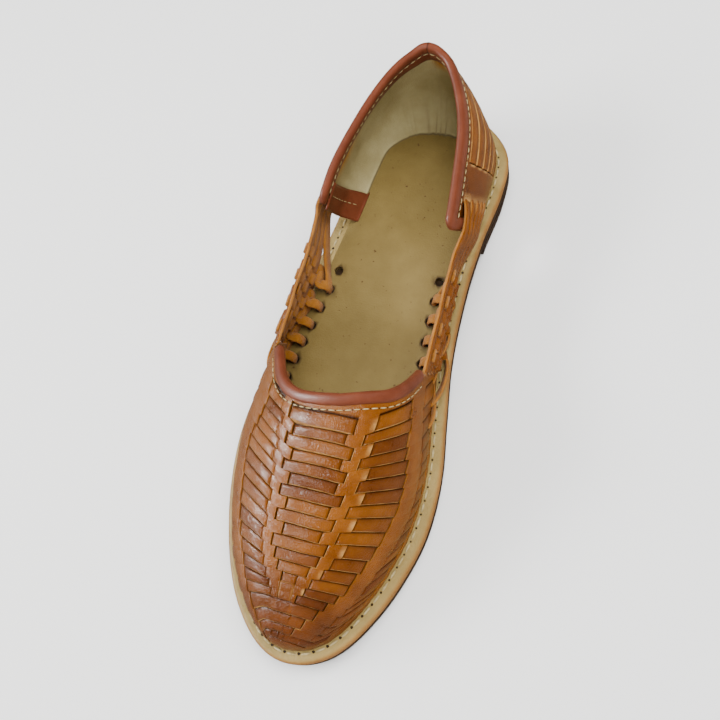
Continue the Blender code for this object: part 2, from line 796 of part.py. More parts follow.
def main():
    for old in list(bpy.data.objects):
        bpy.data.objects.remove(old, do_unlink=True)
    for name in ("huarache", "cutters"):
        bpy.context.scene.collection.children.link(bpy.data.collections.new(name))
    brown = make_material("brown_sole_rubber", (0.10, 0.045, 0.02), 0.5)
    natural = make_material("natural_sole_leather", (0.58, 0.40, 0.20), 0.55)
    beige = make_material("beige_insole_leather", (0.62, 0.50, 0.30), 0.6)
    caramel = make_material("caramel_woven_leather", (0.38, 0.13, 0.025), 0.3)
    brick = make_material("brick_binding_leather", (0.30, 0.10, 0.06), 0.4)
    make_heel_block(brown)
    make_outsole(brown)
    make_midsole(natural)
    make_insole(beige)
    make_vamp(caramel)
    make_throat_binding(brick)
    make_counter(caramel)
    make_collar_binding(brick)
    make_straps("lateral_straps", LATERAL, caramel)
    make_straps("medial_straps", MEDIAL, caramel)


main()
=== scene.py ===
"""Looks of a woven leather huarache, the right shoe of a pair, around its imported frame.

Metres, +Z up, floor at z = 0. The toe points to -Y and the medial side is +X.
"""

import math
import random
from bisect import bisect_right
from collections import namedtuple

import bmesh
import bpy
import numpy as np
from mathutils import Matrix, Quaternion, Vector


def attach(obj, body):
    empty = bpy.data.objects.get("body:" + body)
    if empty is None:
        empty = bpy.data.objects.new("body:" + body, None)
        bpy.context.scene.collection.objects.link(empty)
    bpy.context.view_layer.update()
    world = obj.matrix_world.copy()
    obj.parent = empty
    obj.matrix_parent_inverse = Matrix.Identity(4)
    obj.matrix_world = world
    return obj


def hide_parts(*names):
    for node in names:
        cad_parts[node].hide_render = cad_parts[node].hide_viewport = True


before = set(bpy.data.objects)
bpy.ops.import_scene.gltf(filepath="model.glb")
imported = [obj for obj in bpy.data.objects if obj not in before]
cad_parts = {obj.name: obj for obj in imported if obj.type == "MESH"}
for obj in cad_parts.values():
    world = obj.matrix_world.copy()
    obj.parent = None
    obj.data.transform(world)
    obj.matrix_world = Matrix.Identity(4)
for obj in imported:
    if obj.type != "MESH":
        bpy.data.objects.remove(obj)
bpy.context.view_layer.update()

# The view: from above the toe on the medial side, rolled so that the heel points up and to the right.
camera_place = Vector((0.1041, -0.1241, 0.3328))
camera_aim = Vector((0.0027, -0.0097, 0.0250))
camera_roll = -0.4778
camera_lens = 37.5

camera = bpy.data.objects.new("camera", bpy.data.cameras.new("camera"))
bpy.context.scene.collection.objects.link(camera)
camera.data.lens = camera_lens
camera.data.clip_start = 0.01
camera.location = camera_place
camera.rotation_euler = (
    (camera_aim - camera_place).to_track_quat("-Z", "Y") @ Quaternion((0, 0, 1), camera_roll)
).to_euler()
bpy.context.scene.camera = camera

# The studio: a pale sweep of paper and a large soft box overhead, with soft keys from the side and the toe.
# Two boxes low on the lateral side show only as gloss on the vamp. The sky and the white paper are dimmed
# in glossy rays, as dark flags round the table would, to keep them out of the leather's reflections.
world = bpy.data.worlds.new("studio")
bpy.context.scene.world = world
world.use_nodes = True
backdrop = world.node_tree.nodes["Background"]
backdrop.inputs["Color"].default_value = (1.0, 0.99, 0.97, 1)
SKY, SKY_IN_GLOSS = 0.5, 0.10
PAPER, PAPER_IN_GLOSS = (0.93, 0.93, 0.92, 1), (0.16, 0.13, 0.10, 1)
PAPER_REACH = 3
flags = world.node_tree.nodes.new("ShaderNodeLightPath")
dimming = world.node_tree.nodes.new("ShaderNodeMapRange")
dimming.inputs["To Min"].default_value = SKY
dimming.inputs["To Max"].default_value = SKY_IN_GLOSS
world.node_tree.links.new(flags.outputs["Is Glossy Ray"], dimming.inputs["Value"])
world.node_tree.links.new(dimming.outputs["Result"], backdrop.inputs["Strength"])


def softbox(name, place, aim, width, height, power, gloss_only=False):
    """A rectangular light that shows either in reflections alone or in matt light alone."""
    light = bpy.data.lights.new(name, "AREA")
    light.shape = "RECTANGLE"
    light.size = width
    light.size_y = height
    light.energy = power
    lamp = bpy.data.objects.new(name, light)
    bpy.context.scene.collection.objects.link(lamp)
    lamp.location = place
    lamp.visible_glossy = gloss_only
    lamp.visible_diffuse = not gloss_only
    lamp.rotation_euler = (Vector(aim) - Vector(place)).to_track_quat("-Z", "Y").to_euler()


softbox("gloss_box", (-1.02, -0.16, 0.66), (0, -0.05, 0.04), 0.36, 0.42, 27, gloss_only=True)
softbox("band_box", (-0.86, -0.62, 0.40), (0, -0.08, 0.03), 0.60, 0.16, 7, gloss_only=True)
softbox("side_key", (-0.95, -0.34, 0.76), (0, -0.05, 0.04), 0.7, 0.34, 16)
softbox("top_box", (0.30, 0.30, 1.50), (0, 0, 0), 1.3, 1.3, 42)
softbox("toe_fill", (0.70, -1.10, 0.90), (0, -0.05, 0.02), 0.8, 0.6, 10)

paper = bpy.data.meshes.new("paper")
corners = ((-1, -1), (1, -1), (1, 1), (-1, 1))
paper.from_pydata([(PAPER_REACH * x, PAPER_REACH * y, 0) for x, y in corners], [], [(0, 1, 2, 3)])
floor = bpy.data.objects.new("floor", paper)
bpy.context.scene.collection.objects.link(floor)
floor_material = bpy.data.materials.new("white_paper")
floor_material.use_nodes = True
floor_shader = floor_material.node_tree.nodes["Principled BSDF"]
floor_shader.inputs["Roughness"].default_value = 0.9
floor_shader.inputs["Specular IOR Level"].default_value = 0.1
floor_rays = floor_material.node_tree.nodes.new("ShaderNodeLightPath")
floor_mix = floor_material.node_tree.nodes.new("ShaderNodeMix")
floor_mix.data_type = "RGBA"
floor_mix.inputs[6].default_value = PAPER
floor_mix.inputs[7].default_value = PAPER_IN_GLOSS
floor_material.node_tree.links.new(floor_rays.outputs["Is Glossy Ray"], floor_mix.inputs[0])
floor_material.node_tree.links.new(floor_mix.outputs[2], floor_shader.inputs["Base Color"])
paper.materials.append(floor_material)

# The sole: a low rubber heel and a thin rubber outsole, cemented under a natural leather midsole that
# stands out all round as the welt. Its edge is rounded and stained orange by the shoemaker.
LENGTH = 0.285
BALL_WIDTH = 0.0995
HEEL_WIDTH = 0.0795
OUTSOLE = 0.004
MIDSOLE = 0.0045
INSOLE = 0.0018
HEEL_HEIGHT = 0.007
TOE_SPRING = 0.004
WELT_WIDTH = 0.0055
GAP = 0.0003
HEEL_BREAST = 0.27
SHANK_END = 0.56
SPRING_START = 0.78
LATERAL = -1
MEDIAL = 1

Edge = namedtuple("Edge", "along width lateral medial")
OUTLINE = (
    Edge(0.000, HEEL_WIDTH, 0.000, 0.000),
    Edge(0.012, HEEL_WIDTH, 0.235, 0.235),
    Edge(0.032, HEEL_WIDTH, 0.342, 0.342),
    Edge(0.085, HEEL_WIDTH, 0.478, 0.478),
    Edge(0.158, HEEL_WIDTH, 0.503, 0.496),
    Edge(0.260, HEEL_WIDTH, 0.506, 0.455),
    Edge(0.372, BALL_WIDTH, 0.445, 0.347),
    Edge(0.493, BALL_WIDTH, 0.513, 0.360),
    Edge(0.584, BALL_WIDTH, 0.541, 0.402),
    Edge(0.675, BALL_WIDTH, 0.552, 0.445),
    Edge(0.767, BALL_WIDTH, 0.511, 0.446),
    Edge(0.848, BALL_WIDTH, 0.434, 0.392),
    Edge(0.919, BALL_WIDTH, 0.328, 0.306),
    Edge(0.969, BALL_WIDTH, 0.202, 0.206),
    Edge(1.000, BALL_WIDTH, 0.000, 0.000),
)
Welt = namedtuple("Welt", "along lateral medial")
WELT = (
    Welt(0.00, 1.20, 1.20),
    Welt(0.10, 1.10, 1.10),
    Welt(0.25, 1.10, 0.95),
    Welt(0.45, 1.10, 0.95),
    Welt(0.60, 1.00, 1.05),
    Welt(0.80, 1.00, 1.10),
    Welt(1.00, 0.92, 0.92),
)


def smooth(knots, values, at):
    """Reads a smooth curve through the values at the knots."""
    last = len(knots) - 1
    steps = [knots[i + 1] - knots[i] for i in range(last)]
    slopes = [(values[i + 1] - values[i]) / steps[i] for i in range(last)]

    def tangent(k):
        if k in (0, last):
            return slopes[min(k, last - 1)]
        return (slopes[k - 1] * steps[k] + slopes[k] * steps[k - 1]) / (steps[k - 1] + steps[k])

    i = min(max(bisect_right(knots, at) - 1, 0), last - 1)
    p = min(max((at - knots[i]) / steps[i], 0.0), 1.0)
    start = values[i] * (1 + 2 * p) * (1 - p) ** 2 + tangent(i) * steps[i] * p * (1 - p) ** 2
    end = values[i + 1] * (3 - 2 * p) * p ** 2 - tangent(i + 1) * steps[i] * (1 - p) * p ** 2
    return start + end


def angle_of(along):
    return math.acos(min(max(1 - 2 * along, -1.0), 1.0))


def share_of(angle):
    return (1 - math.cos(angle)) / 2


def y_of(along):
    return LENGTH * (0.5 - along)


def along_of(y):
    return 0.5 - y / LENGTH


OUTLINE_ANGLES = [angle_of(row.along) for row in OUTLINE]
HALF_WIDTHS = {
    LATERAL: [row.lateral * row.width for row in OUTLINE],
    MEDIAL: [row.medial * row.width for row in OUTLINE],
}


def widest(side):
    places = [math.pi * i / 200 for i in range(201)]
    return max(smooth(OUTLINE_ANGLES, HALF_WIDTHS[side], angle) for angle in places)


CENTRE = (widest(LATERAL) - widest(MEDIAL)) / 2


def sole_edge(angle):
    """A point of the sole's edge in plan. A negative angle is on the lateral side."""
    if angle > math.pi:
        angle -= 2 * math.pi
    if angle < -math.pi:
        angle += 2 * math.pi
    side = MEDIAL if angle > 0 else LATERAL
    across = smooth(OUTLINE_ANGLES, HALF_WIDTHS[side], abs(angle))
    return CENTRE + side * across, y_of(share_of(abs(angle)))


def inset_edge(angle, inset):
    nudge = 0.01
    x, y = sole_edge(angle)
    x_before, y_before = sole_edge(angle - nudge)
    x_after, y_after = sole_edge(angle + nudge)
    run = math.hypot(x_after - x_before, y_after - y_before)
    return x + (y_after - y_before) / run * inset, y - (x_after - x_before) / run * inset


def welt_width(angle):
    shares = [row.medial if angle > 0 else row.lateral for row in WELT]
    return WELT_WIDTH * smooth([row.along for row in WELT], shares, share_of(abs(angle)))


def foot_edge(angle, inward=0.0):
    """The line where the upper stands on the welt."""
    return inset_edge(angle, welt_width(angle) + inward)


def lift(along):
    """Height of the outsole's underside: heel seat, shank, flat forefoot and toe spring."""
    if along < HEEL_BREAST:
        return HEEL_HEIGHT
    if along < SHANK_END:
        drop = (along - HEEL_BREAST) / (SHANK_END - HEEL_BREAST)
        return HEEL_HEIGHT * (1 + math.cos(math.pi * drop)) / 2
    if along < SPRING_START:
        return 0.0
    return TOE_SPRING * ((along - SPRING_START) / (1 - SPRING_START)) ** 2


def midsole_low(along):
    return lift(along) + OUTSOLE + GAP


def welt_top(along):
    return midsole_low(along) + MIDSOLE


def upper_foot(along):
    return welt_top(along) + GAP


def insole_top(along):
    return upper_foot(along) + INSOLE


def new_piece(name, verts, faces, material, marks=None, replaced=()):
    """Makes a mesh piece that rides on the shoe, with its named marks kept on its points."""
    mesh = bpy.data.meshes.new(name)
    mesh.from_pydata([tuple(vert) for vert in verts], [], faces)
    mesh.validate()
    for mark, values in (marks or {}).items():
        layer = mesh.attributes.new(mark, "FLOAT", "POINT")
        layer.data.foreach_set("value", values)
    mesh.shade_smooth()
    mesh.materials.append(material)
    piece = bpy.data.objects.new(name, mesh)
    bpy.context.scene.collection.objects.link(piece)
    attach(piece, "root")
    if replaced:
        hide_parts(*replaced)
    return piece


def sole_layer(name, profile, low, high, angles, material, replaced, open_end=False):
    """A layer of the sole: a side profile of (inset, share of height, edge mark) run round the outline."""
    verts = []
    edge = []
    for angle in angles:
        ring = []
        for side in (LATERAL, MEDIAL):
            half = []
            for inset, share, mark in profile:
                x, y = inset_edge(side * angle, inset)
                along = along_of(y)
                half.append((Vector((x, y, low(along) + (high(along) - low(along)) * share)), mark))
            ring.append(half)
        lateral, medial = ring
        across = [(lateral[-1][0].lerp(medial[-1][0], k / 4), 0.0) for k in (1, 2, 3)]
        back = [(medial[0][0].lerp(lateral[0][0], k / 4), 0.0) for k in (1, 2, 3)]
        whole = lateral + across + list(reversed(medial)) + back
        verts += [point for point, mark in whole]
        edge += [mark for point, mark in whole]
    count = len(verts) // len(angles)
    faces = []
    for i in range(len(angles) - 1):
        for j in range(count):
            k = (j + 1) % count
            faces.append((i * count + j, i * count + k, (i + 1) * count + k, (i + 1) * count + j))
    if open_end:
        faces.append(tuple((len(angles) - 1) * count + j for j in range(count)))
    piece = new_piece(name, verts, faces, material, {"edge": edge}, replaced)
    tidy_mesh(piece)
    return piece


def tidy_mesh(piece, sharp=35):
    """Welds what meets, turns the faces outwards and keeps sharp edges crisp."""
    shape = bmesh.new()
    shape.from_mesh(piece.data)
    bmesh.ops.remove_doubles(shape, verts=shape.verts, dist=1e-6)
    bmesh.ops.dissolve_degenerate(shape, edges=shape.edges, dist=1e-6)
    bmesh.ops.recalc_face_normals(shape, faces=shape.faces)
    shape.to_mesh(piece.data)
    shape.free()
    piece.data.shade_smooth()
    piece.data.set_sharp_from_angle(angle=math.radians(sharp))


def node(tree, kind, **values):
    """Adds a shader node, with its properties and its unlinked inputs set by name."""
    made = tree.nodes.new(kind)
    for name, value in values.items():
        if hasattr(made, name):
            setattr(made, name, value)
        else:
            made.inputs[name.replace("_", " ")].default_value = value
    return made


def ramp(tree, factor, stops):
    """A colour ramp between (place, colour) stops."""
    made = tree.nodes.new("ShaderNodeValToRGB")
    while len(made.color_ramp.elements) < len(stops):
        made.color_ramp.elements.new(0.5)
    for element, (place, colour) in zip(made.color_ramp.elements, stops):
        element.position = place
        element.color = (*colour, 1)
    tree.links.new(factor, made.inputs["Fac"])
    return made.outputs["Color"]


def blend(tree, factor, first, second, kind="MIX"):
    """Mixes two colours, each a socket or a plain colour."""
    made = tree.nodes.new("ShaderNodeMix")
    made.data_type = "RGBA"
    made.blend_type = kind
    for value, socket in ((factor, made.inputs[0]), (first, made.inputs[6]), (second, made.inputs[7])):
        if isinstance(value, bpy.types.NodeSocket):
            tree.links.new(value, socket)
        else:
            socket.default_value = value if isinstance(value, float) else (*value, 1)
    return made.outputs[2]


def math_node(tree, operation, first, second=0.0):
    made = tree.nodes.new("ShaderNodeMath")
    made.operation = operation
    for value, socket in ((first, made.inputs[0]), (second, made.inputs[1])):
        if isinstance(value, bpy.types.NodeSocket):
            tree.links.new(value, socket)
        else:
            socket.default_value = value
    return made.outputs[0]


def new_group(name, inputs, outputs):
    """An empty shader group with named float inputs and named outputs."""
    group = bpy.data.node_groups.new(name, "ShaderNodeTree")
    for title, value in inputs:
        socket = group.interface.new_socket(title, in_out="INPUT", socket_type="NodeSocketFloat")
        socket.default_value = value
    for title, kind in outputs:
        group.interface.new_socket(title, in_out="OUTPUT", socket_type=kind)
    return group, group.nodes.new("NodeGroupInput"), group.nodes.new("NodeGroupOutput")


def leather_grain_group():
    """Fine pores and wrinkles, with a slow mottle of the dye."""
    group, given, out = new_group(
        "leather_grain", (("Grain Scale", 900.0), ("Mottle Scale", 60.0)),
        (("Height", "NodeSocketFloat"), ("Mottle", "NodeSocketFloat")))
    place = group.nodes.new("ShaderNodeTexCoord").outputs["Object"]
    pores = node(group, "ShaderNodeTexVoronoi", feature="DISTANCE_TO_EDGE")
    fine = node(group, "ShaderNodeTexNoise", Detail=4.0, Roughness=0.6)
    slow = node(group, "ShaderNodeTexNoise", Detail=5.0, Roughness=0.65)
    for texture in (pores, fine, slow):
        group.links.new(place, texture.inputs["Vector"])
    group.links.new(given.outputs["Grain Scale"], pores.inputs["Scale"])
    group.links.new(math_node(group, "MULTIPLY", given.outputs["Grain Scale"], 0.6), fine.inputs["Scale"])
    group.links.new(given.outputs["Mottle Scale"], slow.inputs["Scale"])
    cells = math_node(group, "MINIMUM", math_node(group, "MULTIPLY", pores.outputs["Distance"], 3.0), 0.6)
    height = math_node(group, "ADD", cells, math_node(group, "MULTIPLY", fine.outputs["Fac"], 0.8))
    group.links.new(height, out.inputs["Height"])
    group.links.new(slow.outputs["Fac"], out.inputs["Mottle"])
    return group


leather_grain = leather_grain_group()


def start_material(name, roughness, grain_scale=900.0, mottle_scale=60.0, bump=0.00012, coat=0.0,
                   specular=0.25):
    """A leather whose grain and mottle are ready to be coloured."""
    material = bpy.data.materials.new(name)
    material.use_nodes = True
    tree = material.node_tree
    shader = tree.nodes["Principled BSDF"]
    shader.inputs["Roughness"].default_value = roughness
    shader.inputs["Coat Weight"].default_value = coat
    shader.inputs["Coat Roughness"].default_value = 0.2
    shader.inputs["Specular IOR Level"].default_value = specular
    grain = tree.nodes.new("ShaderNodeGroup")
    grain.node_tree = leather_grain
    grain.inputs["Grain Scale"].default_value = grain_scale
    grain.inputs["Mottle Scale"].default_value = mottle_scale
    relief = node(tree, "ShaderNodeBump", Strength=1.0, Distance=bump)
    tree.links.new(grain.outputs["Height"], relief.inputs["Height"])
    tree.links.new(relief.outputs["Normal"], shader.inputs["Normal"])
    return material, tree, shader, grain


def dyed(tree, grain, dark, light, low=0.25):
    """The dye's colour, from dark to light over the leather's mottle."""
    return ramp(tree, grain.outputs["Mottle"], ((low, dark), (1 - low, light)))


def mark_value(tree, name):
    return node(tree, "ShaderNodeAttribute", attribute_type="GEOMETRY", attribute_name=name).outputs["Fac"]


def rubber_material():
    material, tree, shader, grain = start_material("brown_sole_rubber", 0.55, 500.0, 90.0, 0.0001)
    colour = dyed(tree, grain, (0.020, 0.010, 0.005), (0.045, 0.022, 0.010), 0.3)
    tree.links.new(colour, shader.inputs["Base Color"])
    return material


def welt_material():
    material, tree, shader, grain = start_material("natural_welt_leather", 0.5, 420.0, 45.0, 0.00015)
    top = dyed(tree, grain, (0.24, 0.165, 0.050), (0.36, 0.26, 0.092), 0.3)
    side = dyed(tree, grain, (0.19, 0.075, 0.012), (0.32, 0.145, 0.030), 0.3)
    worn = blend(tree, mark_value(tree, "edge"), top, side)
    tree.links.new(worn, shader.inputs["Base Color"])
    return material


sole_rubber = rubber_material()
welt_leather = welt_material()
SOLE_STEPS = 130


def sole_angles(end=math.pi, count=SOLE_STEPS):
    return [end * i / count for i in range(count + 1)]


sole_layer(
    "heel_lift", ((0.0008, 0.0, 1), (0.0004, 0.10, 1), (0.0, 0.45, 1), (0.0, 1.0, 1)),
    lambda along: 0.0, lambda along: lift(along) - GAP, sole_angles(angle_of(HEEL_BREAST - 0.01), 60),
    sole_rubber, ("heel_block",), True)
sole_layer(
    "rubber_outsole", ((0.0012, 0.0, 1), (0.0004, 0.08, 1), (0.0, 0.25, 1), (0.0, 0.85, 1), (0.0003, 1.0, 1)),
    lift, lambda along: lift(along) + OUTSOLE, sole_angles(), sole_rubber, ("outsole",))
WELT_PROFILE = (
    (0.0006, 0.0, 1.0), (0.0001, 0.10, 1.0), (0.0, 0.35, 1.0), (0.0001, 0.62, 1.0), (0.0004, 0.82, 0.9),
    (0.0009, 0.94, 0.55), (0.0016, 1.0, 0.15), (0.0024, 1.0, 0.0), (0.0060, 1.0, 0.0), (0.0100, 1.0, 0.0),
)
sole_layer("welt_and_midsole", WELT_PROFILE, midsole_low, welt_top, sole_angles(), welt_leather,
           ("midsole",))

# The welt seam: cream waxed thread through round awl holes, sunk in the welt close to the upper; the holes
# are dark discs of painted shade.
SEAM_PITCH = 0.0062
SEAM_INSET = -0.0012
HOLE_RADIUS = 0.00100
THREAD_RADIUS = 0.00055
THREAD_SHARE = 0.66


def thread_material():
    material, tree, shader, grain = start_material("cream_thread", 0.75, 2500.0, 400.0, 0.0001)
    colour = dyed(tree, grain, (0.34, 0.25, 0.10), (0.58, 0.48, 0.26), 0.3)
    tree.links.new(colour, shader.inputs["Base Color"])
    return material


def hole_shadow_material():
    material, tree, shader, grain = start_material("awl_hole_shadow", 0.9, 900.0, 300.0, 0.0001)
    colour = dyed(tree, grain, (0.010, 0.006, 0.003), (0.035, 0.02, 0.01), 0.3)
    tree.links.new(colour, shader.inputs["Base Color"])
    return material


cream_thread = thread_material()
hole_shadow = hole_shadow_material()


def stitch_mesh(verts, faces, start, end, up, radius, sides=6, steps=6, flat=0.7):
    """Adds one stitch: a short thread that arches from its first hole to its second."""
    run = end - start
    ahead = run.normalized()
    aside = ahead.cross(up).normalized()
    first = len(verts)
    for i in range(steps + 1):
        share = i / steps
        swell = math.sin(math.pi * (0.06 + 0.88 * share)) ** 0.5
        centre = start + run * share + up * radius * (swell * 1.1 - 0.75)
        for j in range(sides):
            turn = 2 * math.pi * j / sides
            verts.append(centre + (aside * math.cos(turn) + up * math.sin(turn) * flat) * radius * swell)
    for i in range(steps):
        for j in range(sides):
            k = (j + 1) % sides
            faces.append((first + i * sides + j, first + i * sides + k,
                          first + (i + 1) * sides + k, first + (i + 1) * sides + j))
    faces.append(tuple(first + j for j in reversed(range(sides))))
    faces.append(tuple(first + steps * sides + j for j in range(sides)))


def disc_mesh(verts, faces, centre, up, radius, rise=0.00006, sides=10):
    """Adds a small dark disc of painted shade that shows as a hole."""
    aside = up.orthogonal().normalized()
    across = up.cross(aside)
    first = len(verts)
    verts.append(centre + up * rise)
    for j in range(sides):
        turn = 2 * math.pi * j / sides
        verts.append(centre + (aside * math.cos(turn) + across * math.sin(turn)) * radius - up * rise)
    for j in range(sides):
        faces.append((first, first + 1 + j, first + 1 + (j + 1) % sides))


def even_points(line, pitch, closed=False):
    """Places at an even pitch along a line of points."""
    runs = np.cumsum([0.0] + [(b - a).length for a, b in zip(line, line[1:])])
    count = max(int(round(runs[-1] / pitch)), 1)
    ends = count if closed else count + 1
    at = [runs[-1] * i / count for i in range(ends)]
    return [Vector([float(np.interp(a, runs, [p[axis] for p in line])) for axis in range(3)]) for a in at]


def welt_seam():
    line = []
    for i in range(721):
        angle = -math.pi + 2 * math.pi * i / 720
        x, y = foot_edge(angle, SEAM_INSET)
        line.append(Vector((x, y, welt_top(along_of(y)))))
    holes = even_points(line, SEAM_PITCH, True)
    thread_verts, thread_faces, hole_verts, hole_faces = [], [], [], []
    up = Vector((0, 0, 1))
    for here, there in zip(holes, holes[1:] + holes[:1]):
        bare = (1 - THREAD_SHARE) / 2
        start, end = here.lerp(there, bare), here.lerp(there, 1 - bare)
        stitch_mesh(thread_verts, thread_faces, start, end, up, THREAD_RADIUS)
        disc_mesh(hole_verts, hole_faces, here, up, HOLE_RADIUS)
    new_piece("welt_seam_thread", thread_verts, thread_faces, cream_thread)
    new_piece("welt_seam_holes", hole_verts, hole_faces, hole_shadow)


welt_seam()

# The insole: a beige leather sock glued on the midsole, with eight lacing holes a side at the waist.
HOLES = 8
LACE_HOLE = 0.0021
LACE_PITCH = 0.0099
LACE_START = 0.3585
LACE_MARGIN = 0.008
INSOLE_INSET = 0.0024
INSOLE_COLUMNS = 24
HOLE_SHADE_REACH = 0.0006


def hole_place(side, number):
    along = LACE_START + number * LACE_PITCH / LENGTH
    x, y = foot_edge(side * angle_of(along), LACE_MARGIN)
    return Vector((x, y, insole_top(along_of(y))))


def insole_material():
    material, tree, shader, grain = start_material("beige_insole_leather", 0.5, 700.0, 30.0, 0.00008)
    colour = dyed(tree, grain, (0.138, 0.094, 0.025), (0.215, 0.153, 0.048))
    place = tree.nodes.new("ShaderNodeTexCoord").outputs["Object"]
    specks = node(tree, "ShaderNodeTexNoise", Scale=420.0, Detail=2.0)
    tree.links.new(place, specks.inputs["Vector"])
    dots = ramp(tree, specks.outputs["Fac"], ((0.70, (0, 0, 0)), (0.76, (1, 1, 1))))
    colour = blend(tree, dots, colour, (0.07, 0.035, 0.012))
    # Painted shade on the walls of the lacing holes, fading out over a narrow rim round each.
    colour = blend(tree, mark_value(tree, "hole_shade"), colour, (0.035, 0.020, 0.008))
    tree.links.new(colour, shader.inputs["Base Color"])
    return material


insole_leather = insole_material()


def make_insole():
    angles = sole_angles(math.pi, 110)
    shape = bmesh.new()
    grid = []
    for angle in angles:
        left = Vector(foot_edge(-angle, INSOLE_INSET))
        right = Vector(foot_edge(angle, INSOLE_INSET))
        row = []
        for k in range(INSOLE_COLUMNS + 1):
            place = left.lerp(right, k / INSOLE_COLUMNS)
            row.append(shape.verts.new((place.x, place.y, insole_top(along_of(place.y)))))
        grid.append(row)
    for first, second in zip(grid, grid[1:]):
        for j in range(INSOLE_COLUMNS):
            shape.faces.new((first[j], first[j + 1], second[j + 1], second[j]))
    bmesh.ops.remove_doubles(shape, verts=shape.verts, dist=1e-6)
    bmesh.ops.dissolve_degenerate(shape, edges=shape.edges, dist=1e-6)
    bmesh.ops.recalc_face_normals(shape, faces=shape.faces)
    top = shape.faces[:]
    if sum(face.normal.z for face in top) < 0:
        bmesh.ops.reverse_faces(shape, faces=top)
    grown = bmesh.ops.extrude_face_region(shape, geom=shape.faces[:])
    low = [item for item in grown["geom"] if isinstance(item, bmesh.types.BMVert)]
    bmesh.ops.translate(shape, verts=low, vec=(0, 0, -INSOLE))
    bmesh.ops.recalc_face_normals(shape, faces=shape.faces)
    mesh = bpy.data.meshes.new("insole_sock")
    shape.to_mesh(mesh)
    shape.free()
    mesh.materials.append(insole_leather)
    piece = bpy.data.objects.new("insole_sock", mesh)
    bpy.context.scene.collection.objects.link(piece)
    punches = []
    for side in (LATERAL, MEDIAL):
        for number in range(HOLES):
            place = hole_place(side, number)
            bpy.ops.mesh.primitive_cylinder_add(vertices=20, radius=LACE_HOLE, depth=0.008, location=place)
            punches.append(bpy.context.object)
    bpy.ops.object.select_all(action="DESELECT")
    for punch in punches:
        punch.select_set(True)
    bpy.context.view_layer.objects.active = punches[0]
    bpy.ops.object.join()
    cutter = bpy.context.object
    cut = piece.modifiers.new("holes", "BOOLEAN")
    cut.operation = "DIFFERENCE"
    cut.object = cutter
    bpy.context.view_layer.update()
    done = bpy.data.meshes.new_from_object(piece.evaluated_get(bpy.context.evaluated_depsgraph_get()))
    piece.modifiers.clear()
    piece.data = done
    bpy.data.objects.remove(cutter, do_unlink=True)
    holes = [hole_place(side, number) for side in (LATERAL, MEDIAL) for number in range(HOLES)]
    values = []
    # Painted shade: full on the holes' walls, fading out over a narrow rim round each hole.
    for vert in done.vertices:
        near = min((vert.co - hole).length for hole in holes)
        values.append(max(0.0, 1 - (near - LACE_HOLE) / HOLE_SHADE_REACH))
    layer = done.attributes.new("hole_shade", "FLOAT", "POINT")
    layer.data.foreach_set("value", values)
    done.shade_smooth()
    done.set_sharp_from_angle(angle=math.radians(35))
    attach(piece, "root")
    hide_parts("insole")


make_insole()

lace_hole_verts, lace_hole_faces = [], []
for lace_side in (LATERAL, MEDIAL):
    for lace_number in range(HOLES):
        lace_hole = hole_place(lace_side, lace_number) - Vector((0, 0, INSOLE * 0.8))
        disc_mesh(lace_hole_verts, lace_hole_faces, lace_hole, Vector((0, 0, 1)), LACE_HOLE * 1.02,
                  0.0001, 16)
new_piece("lacing_hole_shadows", lace_hole_verts, lace_hole_faces, hole_shadow)

# The vamp: caramel box calf. Bands run lengthwise, and cross strips dive under them and come up again
# as bars, whose cut edges show light. It is lasted over the toe and sewn into the welt.
INSTEP_HEIGHT = 0.068
WALL = 0.0021

Ridge = namedtuple("Ridge", "along height across lateral_power medial_power")
RIDGE = (
    Ridge(0.468, 1.220, 0.090, 1.75, 3.4),
    Ridge(0.570, 1.090, 0.092, 1.75, 3.4),
    Ridge(0.652, 0.985, 0.090, 1.80, 3.1),
    Ridge(0.714, 0.905, 0.075, 1.90, 2.8),
    Ridge(0.795, 0.775, 0.045, 2.10, 2.5),
    Ridge(0.867, 0.650, 0.015, 2.25, 2.5),
    Ridge(0.918, 0.545, 0.000, 2.30, 2.5),
    Ridge(0.954, 0.435, -0.012, 2.30, 2.4),
    Ridge(0.974, 0.330, -0.018, 2.20, 2.2),
)
Rear = namedtuple("Rear", "turn lateral medial")
REAR = (
    Rear(0.00, 0.657, 0.657),
    Rear(0.15, 0.660, 0.645),
    Rear(0.25, 0.656, 0.634),
    Rear(0.35, 0.642, 0.615),
    Rear(0.43, 0.620, 0.597),
    Rear(0.50, 0.591, 0.581),
    Rear(0.60, 0.565, 0.560),
    Rear(0.80, 0.535, 0.535),
    Rear(1.00, 0.509, 0.509),
)
THROAT_CORNER = 0.55

FOOT_LINES = {}
for foot_side in (LATERAL, MEDIAL):
    line = [foot_edge(foot_side * math.pi * i / 240) for i in range(1, 241)]
    FOOT_LINES[foot_side] = ([y for x, y in reversed(line)], [x for x, y in reversed(line)])
TOE_Y = foot_edge(math.pi)[1]
TOE_X = foot_edge(math.pi)[0]
RIDGE_ROOTS = [math.sqrt(along_of(TOE_Y) - row.along) for row in reversed(RIDGE)]


def ridge_value(name, along, at_toe):
    root = math.sqrt(max(along_of(TOE_Y) - along, 0.0))
    column = [getattr(row, name) for row in reversed(RIDGE)]
    return smooth([0.0] + RIDGE_ROOTS, [at_toe] + column, root)


SECTIONS = {}


